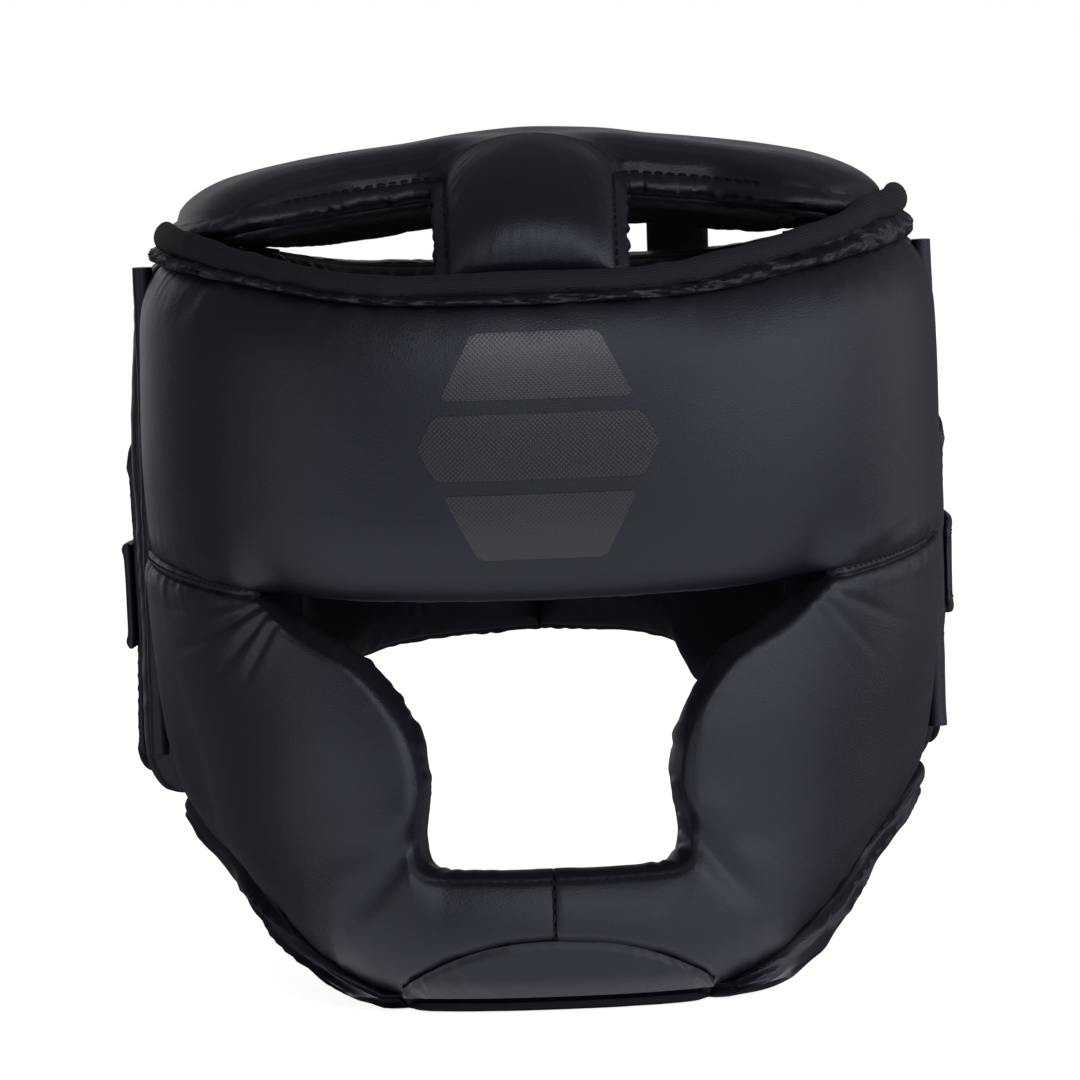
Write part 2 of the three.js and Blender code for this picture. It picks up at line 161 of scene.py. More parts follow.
# Heights of seams, by angle round the head
brow_top = profile((0, 194.5), (20, 195.5), (45, 201), (70, 204), (95, 204))
brow_low = profile((0, 113), (30, 114), (42, 115.8), (70, 120), (95, 122))
binding_height = profile((0, 199.5), (18, 200.5), (45, 207.5), (65, 212), (95, 213))
side_low = profile((90.3, 53), (110, 55), (127, 65), (150, 82), (180, 87))
# The left wing hangs lower, as the photograph shows through the face opening
left_low = profile((90.3, 53), (110, 55), (127, 62), (148, 67), (155, 70), (160, 82), (180, 87))
rear_top = profile((90.3, 203), (110, 204), (127, 202), (150, 196.5), (180, 194))


def bend(value):
    return np.sign(value) * abs(value) ** SQUARENESS


def skin(angle, z, depth):
    """Points on the head form, depth mm under its surface."""
    angle, z, depth = np.broadcast_arrays(np.asarray(angle, float), z, depth)
    nape = smoothstep(abs(angle), 70, 95)
    half = face_width(z) * (1 - nape) + nape_width(z) * nape - depth
    middle = (back_reach(z) - front_reach(z)) / 2
    reach = (back_reach(z) + front_reach(z)) / 2 - depth
    turn = np.radians(angle)
    return np.stack([half * bend(np.sin(turn)), middle - reach * bend(np.cos(turn)), z], axis=-1)


def front_angle(x, z):
    """Angle round the head of a point seen from the front."""
    ratio = np.clip(abs(x) / face_width(z), 0, 1) ** (1 / SQUARENESS)
    return np.sign(x) * np.degrees(np.arcsin(ratio))


# ---- materials


class Nodes:
    """Short way to build a node tree."""

    def __init__(self, name):
        self.material = bpy.data.materials.new(name)
        self.material.use_nodes = True
        self.tree = self.material.node_tree
        self.shader = self.tree.nodes["Principled BSDF"]

    def add(self, kind, **settings):
        node = self.tree.nodes.new(kind)
        for key, value in settings.items():
            if hasattr(node, key):
                setattr(node, key, value)
            else:
                node.inputs[key.replace("_", " ")].default_value = value
        return node

    def link(self, source, target):
        self.tree.links.new(source, target)

    def texture(self, kind, at, **settings):
        node = self.add(f"ShaderNodeTex{kind}", **settings)
        self.link(at, node.inputs["Vector"])
        return node

    def set(self, **values):
        for key, value in values.items():
            self.shader.inputs[key.replace("_", " ")].default_value = value

    def coordinate(self, kind="Object"):
        return self.add("ShaderNodeTexCoord").outputs[kind]

    def mix_colour(self, factor, low, high):
        ramp = self.add("ShaderNodeValToRGB")
        ramp.color_ramp.elements[0].color = (*low, 1)
        ramp.color_ramp.elements[1].color = (*high, 1)
        self.link(factor, ramp.inputs["Fac"])
        self.link(ramp.outputs["Color"], self.shader.inputs["Base Color"])
        return ramp

    def rough(self, factor, low, high):
        span = self.add("ShaderNodeMapRange", From_Min=0.0, From_Max=1.0, To_Min=low, To_Max=high)
        self.link(factor, span.inputs["Value"])
        self.link(span.outputs["Result"], self.shader.inputs["Roughness"])

    def bump(self, height, distance, strength, below=None):
        node = self.add("ShaderNodeBump", Distance=distance, Strength=strength)
        self.link(height, node.inputs["Height"])
        if below is not None:
            self.link(below.outputs["Normal"], node.inputs["Normal"])
        self.link(node.outputs["Normal"], self.shader.inputs["Normal"])
        return node

# Highlights on leather and knit are slightly blue
GLOSS_TINT = (0.84, 0.87, 1.0, 1.0)


def leather_material(name, dark, light, roughness, grain, pebble=1100.0):
    """Artificial leather: pebbled grain, fine pores, slow variation of tone and gloss."""
    m = Nodes(name)
    at = m.coordinate()
    cells = m.texture("Voronoi", at, feature="DISTANCE_TO_EDGE", Scale=pebble, Randomness=1.0)
    pores = m.texture("Noise", at, Scale=pebble * 2.2, Detail=4.0, Roughness=0.6)
    cloud = m.texture("Noise", at, Scale=22.0, Detail=5.0, Roughness=0.6)
    m.mix_colour(cloud.outputs["Fac"], dark, light)
    m.rough(cloud.outputs["Fac"], roughness - 0.05, roughness + 0.07)
    first = m.bump(pores.outputs["Fac"], 0.00012, grain * 0.55)
    m.bump(cells.outputs["Distance"], 0.0002, grain, first)
    m.set(IOR=1.47, Specular_IOR_Level=0.5, Specular_Tint=GLOSS_TINT)
    return m.material


def knit_material():
    """Ribbed knit tape: ribs across the tape and small loops along them."""
    m = Nodes("knit")
    uv = m.coordinate("UV")
    ribs = m.texture("Wave", uv, bands_direction="Y", Scale=300.0, Distortion=0.5, Detail=2.0)
    rows = m.texture("Wave", uv, bands_direction="DIAGONAL", Scale=420.0, Distortion=0.8)
    fuzz = m.texture("Noise", m.coordinate(), Scale=2400.0, Detail=3.0)
    m.mix_colour(ribs.outputs["Fac"], (0.0024, 0.0026, 0.0042), (0.0055, 0.0059, 0.0086))
    first = m.bump(fuzz.outputs["Fac"], 0.0002, 0.5)
    second = m.bump(rows.outputs["Fac"], 0.00014, 0.4, first)
    m.bump(ribs.outputs["Fac"], 0.00022, 0.6, second)
    m.set(Roughness=0.78, Specular_IOR_Level=0.4, Specular_Tint=GLOSS_TINT)
    m.set(Sheen_Weight=0.015, Sheen_Roughness=0.5)
    return m.material


def print_material():
    """Semi-gloss transfer print with a woven look."""
    m = Nodes("print")
    turned = m.add("ShaderNodeMapping")
    turned.inputs["Rotation"].default_value = (0, math.radians(45), 0)
    m.link(m.coordinate(), turned.inputs["Vector"])
    weave = m.add("ShaderNodeMath", operation="MULTIPLY")
    for k, way in enumerate("XZ"):
        threads = m.texture("Wave", turned.outputs["Vector"], bands_direction=way, Scale=330.0)
        m.link(threads.outputs["Fac"], weave.inputs[k])
    m.mix_colour(weave.outputs["Value"], (0.008, 0.0083, 0.011), (0.019, 0.0195, 0.0245))
    m.rough(weave.outputs["Value"], 0.3, 0.42)
    m.bump(weave.outputs["Value"], 0.0001, 0.5)
    m.set(Specular_IOR_Level=0.6)
    return m.material


def thread_material():
    """Twisted polyester sewing thread."""
    m = Nodes("thread")
    twist = m.texture("Wave", m.coordinate(), bands_direction="DIAGONAL", Scale=1500.0)
    m.mix_colour(twist.outputs["Fac"], (0.0045, 0.0048, 0.0068), (0.0095, 0.0099, 0.0135))
    m.bump(twist.outputs["Fac"], 0.0001, 0.6)
    m.set(Roughness=0.75, Specular_IOR_Level=0.2)
    return m.material


def tape_material(name, tone, scale, strength, roughness, sheen):
    """Hook or loop tape: dense small tufts."""
    m = Nodes(name)
    at = m.coordinate()
    tufts = m.texture("Voronoi", at, feature="F1", Scale=scale)
    fibres = m.texture("Noise", at, Scale=scale * 1.7, Detail=5.0, Roughness=0.7)
    m.mix_colour(fibres.outputs["Fac"], tuple(0.5 * t for t in tone), tuple(1.5 * t for t in tone))
    first = m.bump(fibres.outputs["Fac"], 0.0004, strength)
    m.bump(tufts.outputs["Distance"], 0.0006, strength, first)
    m.set(Roughness=roughness, Sheen_Weight=sheen)
    return m.material


DARK_LEATHER, LIGHT_LEATHER = (0.0064, 0.0070, 0.0118), (0.0086, 0.0093, 0.0145)
DARK_LINING, LIGHT_LINING = (0.0100, 0.0106, 0.0170), (0.0160, 0.0168, 0.0245)
THREAD = thread_material()
MATERIALS = {
    "leather": leather_material("leather", DARK_LEATHER, LIGHT_LEATHER, 0.42, 0.5),
    "lining": leather_material("lining", DARK_LINING, LIGHT_LINING, 0.46, 0.25, 1500.0),
    "knit_binding": knit_material(),
    "print": print_material(),
    "hook_tape": tape_material("hook_tape", (0.012, 0.012, 0.014), 1300.0, 0.9, 0.55, 0.1),
    "loop_tape": tape_material("loop_tape", (0.016, 0.016, 0.02), 900.0, 1.0, 0.95, 0.5),
}

# ---- meshes


def loop_of(columns, rows):
    """Grid places round the edge of a grid, in order."""
    top = [(i, 0) for i in range(columns - 1)] + [(columns - 1, j) for j in range(rows - 1)]
    back = [(i, rows - 1) for i in range(columns - 1, 0, -1)] + [(0, j) for j in range(rows - 1, 0, -1)]
    return np.array(top + back)


def grid_faces(columns, rows, start):
    i, j = np.meshgrid(np.arange(columns - 1), np.arange(rows - 1), indexing="ij")
    a = (start + i * rows + j).ravel()
    b = a + rows
    return np.stack([a, b, b + 1, a + 1], axis=1)


def bridge_faces(first, second):
    return np.stack([np.roll(first, -1), first, second, np.roll(second, -1)], axis=1)


def signed_volume(points, faces):
    a, b, c, d = (points[faces[:, k]] for k in range(4))
    split = np.einsum("ij,ij->i", a, np.cross(b, c)) + np.einsum("ij,ij->i", a, np.cross(c, d))
    return split.sum()


def add_piece(name, solid, body, slot, stands_for=(), sharp=50, fill=None, material=None):
    """Makes an object of quads (points in mm), facing out, riding on a body; fill is not used."""
    points, faces, uv = solid
    if signed_volume(points, faces) < 0:
        faces = faces[:, ::-1]
    mesh = bpy.data.meshes.new(name)
    mesh.from_pydata((points * MM).tolist(), [], faces.tolist())
    if uv is not None:
        layer = mesh.uv_layers.new(name="UVMap")
        layer.data.foreach_set("uv", (uv[faces.ravel()] * MM).ravel().astype(np.float32))
    mesh.materials.append(material or MATERIALS[slot])
    mesh.shade_smooth()
    mesh.set_sharp_from_angle(angle=math.radians(sharp))
    piece = bpy.data.objects.new(name, mesh)
    bpy.context.collection.objects.link(piece)
    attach(piece, body)
    if stands_for:
        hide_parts(*stands_for)
    return piece


def close_body(outer, front, rim, rings, inner, flat):
    """Closed body: outer points with their faces, rings of wall points round the rim, inner points."""
    points, uv, faces = [outer], [flat], [front]
    previous, start = rim, len(outer)
    for ring in rings:
        current = start + np.arange(len(rim))
        points.append(ring)
        uv.append(flat[rim])
        faces.append(bridge_faces(previous, current))
        previous, start = current, start + len(rim)
    points.append(inner)
    uv.append(flat)
    faces.append(bridge_faces(previous, rim + start))
    faces.append((front + start)[:, ::-1])
    return np.concatenate(points), np.concatenate(faces), np.concatenate(uv)


def shell(outer, rings, inner, lengths):
    """Closed body from an outer grid, rings of wall points and an inner grid."""
    columns, rows = outer.shape[:2]
    places = loop_of(columns, rows)
    rim = places[:, 0] * rows + places[:, 1]
    front = grid_faces(columns, rows, 0)
    outer, inner = outer.reshape(-1, 3), inner.reshape(-1, 3)
    return close_body(outer, front, rim, rings, inner, lengths.reshape(-1, 2))


def spaced(count):
    """0 to 1, closer together near both ends."""
    t = np.linspace(0, 1, count)
    return 0.4 * t + 0.6 * (1 - np.cos(np.pi * t)) / 2


def arc(points, axis):
    """Length along a grid's lines."""
    step = np.linalg.norm(np.diff(points, axis=axis), axis=-1)
    pad = [(0, 0), (0, 0)]
    pad[axis] = (1, 0)
    return np.cumsum(np.pad(step, pad), axis=axis)


def path_length(path):
    """Length along a path, from its start to each of its points."""
    return np.concatenate([[0], np.cumsum(np.linalg.norm(np.diff(path, axis=0), axis=1))])


def unit(vectors):
    return vectors / np.maximum(np.linalg.norm(vectors, axis=-1, keepdims=True), 1e-9)


def normals(points):
    return unit(np.cross(np.gradient(points, axis=0), np.gradient(points, axis=1)))


ALL_EDGES = ("u0", "u1", "v0", "v1")


class Sheet:
    """A grid laid on surface(u, v, depth), with the distance from each point to each of its edges."""

    def __init__(self, surface, columns, rows):
        self.surface = surface
        self.U, self.V = np.meshgrid(spaced(columns), spaced(rows), indexing="ij")
        self.base = base = self.at(0.0)
        across, along = arc(base, 0), arc(base, 1)
        self.lengths = np.stack([across, along], axis=-1)
        self.u0, self.u1 = across, across[-1:] - across
        self.v0, self.v1 = along, along[:, -1:] - along
        self.off = {"u0": self.u0, "u1": self.u1, "v0": self.v0, "v1": self.v1}
        self.x, self.z = base[..., 0], base[..., 2]

    def at(self, depth):
        return self.surface(self.U, self.V, depth)

    def along(self, edge):
        """Length measured along an edge."""
        return self.v0 if edge[0] == "u" else self.u0

    def fall(self, edges):
        """How far the surface drops towards its edges: {edge: (roll, width)}."""
        return sum(roll * (1 - circ(self.off[e], width)) for e, (roll, width) in edges.items())

    def fill(self, width):
        return np.prod([circ(self.off[e], width) for e in self.off], axis=0)

    def gathers(self, edges, wave, reach, height, seed):
        """Puckers that run in from sewn edges and die away."""
        total = np.zeros_like(self.x)
        for k, edge in enumerate(edges):
            s, d = self.along(edge), self.off[edge]
            ridge = ridges(s / wave, d / (2.5 * reach), seed + k)
            fine = noise2(s / (0.45 * wave), d / reach, seed + 40 + k)
            total += height * np.exp(-d / reach) * (0.7 * ridge + 0.5 * fine)
        return total

    def shape(self, depth):
        self.depth = depth
        self.outer = self.at(depth)

    def line(self, edge, distance, lift, span):
        """Points at a distance from an edge and lifted off the surface, with the normals there."""
        facing = normals(self.outer)
        if np.sum(facing * (self.outer - self.at(self.depth + 1.0))) < 0:
            facing = -facing
        layers = [self.off[edge], self.outer, facing]
        if edge[0] == "u":
            layers = [np.swapaxes(layer, 0, 1) for layer in layers]
        if edge[1] == "1":
            layers = [layer[:, ::-1] for layer in layers]
        table, *values = layers
        first, last = (int(round(share * (len(table) - 1))) for share in span)
        points, ways = (
            np.array([[np.interp(distance, table[row], grid[row, :, k]) for k in range(3)]
                      for row in range(first, last + 1)])
            for grid in values
        )
        return points + lift * ways, ways


def walls(sheet, low, shares, bulge, pucker, seed):
    """Rings of wall points from the outer rim down to depth low."""
    columns, rows = sheet.U.shape
    i, j = loop_of(columns, rows).T
    u, v = sheet.U[i, j], sheet.V[i, j]
    top = sheet.depth[i, j]
    edge = sheet.base[i, j]
    out = unit(edge - sheet.base[np.clip(i, 2, columns - 3), np.clip(j, 2, rows - 3)])
    s = path_length(np.vstack([edge, edge[:1]]))[1:]
    pucker = np.broadcast_to(pucker, sheet.U.shape)[i, j]
    rings = []
    for share in shares:
        depth = top + (low - top) * share
        swell = bulge * math.sin(math.pi * share)
        lobes = 2 * abs(noise2(s / 4.8, share * 0.8, seed)) - 0.4
        waves = pucker * lobes * (0.2 + 0.8 * math.sin(math.pi * min(share, 0.75) / 1.5))
        rings.append(sheet.surface(u, v, depth) + out * (swell + waves)[:, None])
    return rings


# Where the rings of a pad's wall lie, from its outer rim to its back
WALL_SHARES = (0.06, 0.2, 0.4, 0.6, 0.8, 0.94, 1.0)
# A lining reaches nearly to its pad's upper and lower edges
LINING_REACH = 0.982


def add_pad(name, sheet, body, low, belly, width, stands_for, fill, seed, bulge=0.6, pucker=0.3):
    """Leather cover of a pad, closed at the back."""
    rings = walls(sheet, low, WALL_SHARES, bulge, pucker, seed)
    solid = shell(sheet.outer, rings, sheet.at(low + belly * sheet.fill(width)), sheet.lengths)
    add_piece(name, solid, body, "leather", stands_for, fill=fill)


def add_lining(name, sheet, body, low, belly, width, stands_for, seed, plump, height):
    """Soft lining on the head side, plumped between its sewn edges."""
    near = low + belly * sheet.fill(width) + 0.3
    cushion = plump * sheet.fill(11)
    puckers = sheet.gathers(ALL_EDGES, 6.0, 9.0, height, seed) * sheet.fill(3)
    slow = 0.5 * noise2(sheet.u0 / 23, sheet.v0 / 19, seed + 9) * sheet.fill(20)
    far = near + 0.9 + cushion + puckers + slow
    V = 0.5 + LINING_REACH * (sheet.V - 0.5)
    i, j = loop_of(*sheet.U.shape).T
    rim = sheet.surface(sheet.U[i, j], V[i, j], (near + far)[i, j] / 2)
    solid = shell(sheet.surface(sheet.U, V, near), [rim], sheet.surface(sheet.U, V, far), sheet.lengths)
    add_piece(name, solid, body, "lining", stands_for, fill=0.3)


def add_cushion(name, node, foams, sheet, body, back, fill, seed, lining_seed, lining=(3.0, 0.7), **wall):
    """Pad with its lining; back is the depth of the pad's back, its belly and how wide the belly rises."""
    stands = (f"{node}_cover", *foams)
    add_pad(f"{name}_pad", sheet, body, *back, stands, fill, seed, **wall)
    add_lining(f"{name}_inside", sheet, body, *back, (f"{node}_lining",), lining_seed, *lining)


def add_roll(name, sheet, ring_depths, low, stands_for, fill):
    """Soft leather piece of the shell behind a shaped sheet, with its back at depth low."""
    i, j = loop_of(*sheet.U.shape).T
    u, v = sheet.U[i, j], sheet.V[i, j]
    rings = [sheet.surface(u, v, np.broadcast_to(depth, sheet.U.shape)[i, j]) for depth in ring_depths]
    solid = shell(sheet.outer, rings, sheet.at(low), sheet.lengths)
    add_piece(name, solid, "shell", "leather", stands_for, 70, fill)


def tube(path, radius, sides, ways, squash=1.0):
    """Closed round rope along a path; ways are directions across it."""
    path = np.asarray(path, float)
    tangent = unit(np.gradient(path, axis=0))
    side = unit(np.cross(tangent, ways))
    other = np.cross(side, tangent)
    radius = np.broadcast_to(radius, len(path))
    around = np.arange(sides)
    turn = 2 * np.pi * around / sides
    ring = np.cos(turn)[:, None] * side[:, None] + squash * np.sin(turn)[:, None] * other[:, None]
    points = (path[:, None] + ring * radius[:, None, None]).reshape(-1, 3)
    k, a = np.meshgrid(sides * np.arange(len(path) - 1), around, indexing="ij")
    b = (a + 1) % sides
    faces = [np.stack([k + a, k + b, k + sides + b, k + sides + a], axis=-1).reshape(-1, 4)]
    count = len(points)
    points = np.vstack([points, path[0], path[-1]])
    pairs = around[::2]
    last = (len(path) - 1) * sides
    nxt, far = (pairs + 1) % sides, (pairs + 2) % sides
    faces.append(np.stack([np.full(len(pairs), count), far, nxt, pairs], axis=1))
    faces.append(np.stack([np.full(len(pairs), count + 1), last + pairs, last + nxt, last + far], axis=1))
    length = path_length(path)
    uv = np.stack([np.repeat(length, sides), np.tile(turn * np.max(radius), len(path))], axis=1)
    return points, np.concatenate(faces), np.vstack([uv, uv[0], uv[-1]])


THREADS = {}

def resample(path, ways, step):
    length = path_length(path)
    at = np.arange(0, length[-1], step)
    return [np.stack([np.interp(at, length, v[:, k]) for k in range(3)], axis=1) for v in (path, ways)]


def sew(body, path, ways, dash=2.7, gap=1.0, radius=0.3):
    """Adds a row of thread stitches that dip into the leather at their ends."""
    fine, facing = resample(path, ways, dash + gap)
    for k in range(len(fine) - 1):
        start = fine[k]
        end = start + (fine[k + 1] - start) * dash / (dash + gap)
        share = np.linspace(0, 1, 5)[:, None]
        arch = np.sin(np.pi * share) * 0.3 - 0.3
        line = start + (end - start) * share + facing[k] * arch
        girth = radius * np.array([0.6, 1.0, 1.08, 1.0, 0.6])
        THREADS.setdefault(body, []).append(tube(line, girth, 6, np.tile(facing[k], (5, 1)))[:2])

def sew_edges(body, sheet, edges, distance, lift, span, *thread):
    """Rows of stitches at a distance from edges of a sheet."""
    for edge in edges:
        sew(body, *sheet.line(edge, distance, lift, span), *thread)


def finish_threads():
    for body, rows in THREADS.items():
        points, faces, start = [], [], 0
        for p, f in rows:
            points.append(p)
            faces.append(f + start)
            start += len(p)
        solid = np.concatenate(points), np.concatenate(faces), None
        add_piece(f"stitches_{body}", solid, body, "knit_binding", material=THREAD)


def groove(distance, at, deep, width=1.1):
    """Dent that a row of stitches pulls into the leather."""
    return deep * np.exp(-(((distance - at) / width) ** 2))


def crease(x, z, start, end, deep, width):
    """Fold line on the surface as seen from the front, deepest at its start."""
    a, b = np.array(start, float), np.array(end, float)
    span = b - a
    t = np.clip(((x - a[0]) * span[0] + (z - a[1]) * span[1]) / (span @ span), 0, 1)
    away = np.hypot(x - a[0] - t * span[0], z - a[1] - t * span[1])
    fade = (1 - t) ** 0.8
    return deep * fade * (np.exp(-((away / width) ** 2)) - 0.4 * np.exp(-((away / (2.6 * width)) ** 2)))

# ---- forehead
def brow_surface(u, v, depth):
    angle = -BROW_END + 2 * BROW_END * u
    turn = abs(angle)
    return skin(angle, brow_low(turn) + (brow_top(turn) - brow_low(turn)) * v, depth)


def make_forehead():
    """Forehead pad: its lower edge hangs free over the eyes and is sewn to the mask at the temples."""
    sheet = Sheet(brow_surface, 260, 84)
    angle = abs(-BROW_END + 2 * BROW_END * sheet.U)
    over_mask = smoothstep(angle, EYE_CORNER - 4, EYE_CORNER + 6)
    free = 1 - over_mask
    low_fall = 11 * free * (1 - circ(sheet.v0, 24)) + 2.6 * over_mask * (1 - circ(sheet.v0, 7))
    depth = low_fall + sheet.fall({"v1": (7, 20), "u0": (7, 16), "u1": (7, 16)})
    depth -= sheet.gathers(("v1",), 6.5, 7.0, 0.5, 3)
    depth -= over_mask * sheet.gathers(("v0",), 7.0, 6.0, 0.5, 5)
    depth += 0.7 * noise2(sheet.x / 38, sheet.z / 30, 2) + 1.6 * smoothstep(-sheet.x, 84, 108)
    for side in (-1, 1):
        x = side * sheet.x
        depth += crease(x, sheet.z, (86, 116), (104, 128), 1.0, 2.4)
        depth += crease(x, sheet.z, (94, 203), (102, 186), 0.9, 2.6)
    sheet.shape(depth)
    add_cushion("forehead", "forehead", ("forehead_foam",), sheet, "shell", (26, 5, 24), 0.9, 11, 21)
    for side, edge in ((-1, "u0"), (1, "u1")):
        line, ways = sheet.line(edge, 0.6, -0.6, (0.04, 0.97))
        line, ways = resample(line, ways, 2.0)
        name = "left" if side > 0 else "right"
        add_piece(f"{name}_temple_piping", tube(line, 1.5, 8, ways), "shell", "leather")
    return sheet


# The knit tape on the brow climbs this much towards the wearer's left
TAPE_TILT = 1.6


def make_brow_tape():
    """Ribbed knit binding over the forehead pad's top edge; it stands a little higher at its ends."""
    angle = np.linspace(-91.2, 91.2, 320)
    turn = abs(angle)
    wander = 0.7 * noise2(angle / 9, angle * 0, 4)
    path = skin(angle, binding_height(turn) + wander, 4.2 - 0.6 * noise2(angle / 13, angle * 0, 6))
    radius = BINDING_RADIUS * (1 + 0.07 * noise2(angle / 3.1, angle * 0, 8) + 0.22 * smoothstep(turn, 40, 85))
    radius *= np.sqrt(np.clip(1 - ((turn - 89.3) / 1.9).clip(0) ** 2, 0.05, 1))
    facing = normals(skin(angle[:, None], binding_height(turn)[:, None] + np.array([[0, 1.0]]), 4.0))[:, 0]
    path[:, 2] += TAPE_TILT * np.sin(np.radians(angle))
    solid = tube(path, radius, 18, facing, 0.8)
    add_piece("brow_tape", solid, "shell", "knit_binding", ("brow_binding",))
    low = path + np.array([0, 0, -BINDING_RADIUS * 0.72]) + facing * BINDING_RADIUS * 0.72
    sew("shell", low[6:-6], facing[6:-6], 2.2, 1.3, 0.3)


def brow_strip_surface(u, v, depth):
    angle = -BROW_END + 2 * BROW_END * u
    low = brow_top(abs(angle)) - 0.4
    high = binding_height(abs(angle)) - BINDING_RADIUS + 0.9 + TAPE_TILT * np.sin(np.radians(angle))
    return skin(angle, low + (high - low) * v, depth)


def make_brow_strip():
    """Gathered leather between the forehead pad and the knit tape."""
    sheet = Sheet(brow_strip_surface, 620, 14)
    s = sheet.along("v0")
    fold = noise2(s / 4.2 + sheet.V, sheet.V * 1.2, 31) + 0.6 * noise2(s / 2.1, sheet.V * 2, 32)
    slant = ridges(s / 9 + 1.5 * sheet.V, sheet.V * 2.5, 33)
    swell = np.sin(np.pi * sheet.V)
    sheet.shape(4.4 - 2.0 * swell - (1.5 * fold + 1.3 * slant) * (0.35 + 0.65 * swell))
    add_roll("brow_gathered_strip", sheet, (sheet.depth + 1.5,), 8.4, ("brow_gather",), 0.2)


# The printed bars stand a little proud of the leather and reach a little into it
PRINT_RISE, PRINT_SINK = 0.22, 0.35


def make_emblem(pad):
    """Plain hexagon of three bars printed on the forehead."""
    centre, bar, space, half_width, slant = 156.0, 18.0, 4.0, 33.0, 0.5
    across = pad.outer[..., 0]
    height = pad.outer[..., 2]
    mid_column = pad.outer.shape[0] // 2

    def drop_at(x, z):
        rows = [np.interp(z[0, k], height[mid_column], np.arange(height.shape[1])) for k in range(z.shape[1])]
        found = np.empty(x.shape)
        for k, row in enumerate(rows):
            low = int(np.clip(row, 0, height.shape[1] - 2))
            share = row - low
            depth = pad.depth[:, low] * (1 - share) + pad.depth[:, low + 1] * share
            column_x = across[:, low] * (1 - share) + across[:, low + 1] * share
            found[:, k] = np.interp(x[:, k], column_x, depth)
        return found

    for k, name in enumerate(("low", "middle", "high")):
        bottom = centre - 1.5 * bar - space + k * (bar + space)
        u, v = np.meshgrid(np.linspace(-1, 1, 60), np.linspace(0, 1, 24), indexing="ij")
        z = bottom + bar * v
        corner = 1.6 * (1 - circ(np.minimum(v, 1 - v) * bar, 1.6))
        x = u * (half_width - slant * abs(z - centre) - corner)
        angle = front_angle(x, z)
        drop = drop_at(x, z)
        outer, inner = skin(angle, z, drop - PRINT_RISE), skin(angle, z, drop + PRINT_SINK)
        solid = shell(outer, [], inner, np.stack([x, z], axis=-1))
        add_piece(f"emblem_bar_{name}", solid, "shell", "print", (f"emblem_{name}",))


# ---- face mask

# Edges of a cheek pad, as (angle, height): round the face opening, and along the chin, jaw and temple
opening_edge = spline([
    (0.03, CHIN_TOP), (8, CHIN_TOP), (17.6, 39.2), (19.6, 47), (17.2, 63), (18.6, 80), (24.5, 95),
    (34, 104), (EYE_CORNER, SEAM_FRONT - 1),
])
jaw_edge = spline([
    (0.03, CHIN_LOW), (14, CHIN_LOW), (27, 4.2), (43, 11), (58, 23.5), (73, 35), (84, 47),
    (BROW_END, 68), (BROW_END, SEAM_SIDE),
])


def mask_surface(u, v, depth):
    """Cheek pad; its wall round the face opening runs back rather than inwards."""
    inner, outer = opening_edge(u), jaw_edge(u)
    place = outer + (inner - outer) * v[..., None]
    angle, z = place[..., 0], place[..., 1]
    half = face_width(z)
    across = bend(np.sin(np.radians(angle))) * half / (half - np.maximum(depth, 0))
    kept = np.degrees(np.arcsin(np.clip(across, 0, 0.985) ** (1 / SQUARENESS)))
    return skin(angle + WALL_FLARE * (kept - angle) * v**3, z, depth)


def sided(surface, side):
    """The surface itself on the wearer's left (side 1), mirrored on the right (side -1)."""
    def turned(u, v, depth):
        return surface(u, v, depth) * np.array([side, 1, 1])
    return turned


def panel_top(turn):
    """Height of the chin panel's upper seam: an arch."""
    foot, rise, last = 4.6, 15.0, 86
    return foot + rise * np.cos(np.radians(np.minimum(turn / PANEL_END, 1) * last))


def panel_dent(x, z):
    """The chin pad dips where the panel under the chin is sewn to it."""
    turn = abs(front_angle(x, z))
    near = 1 - smoothstep(turn, PANEL_END - 3, PANEL_END + 2)
    under = smoothstep(panel_top(turn) - z, -3.5, 1.5)
    return 3.6 * near * under


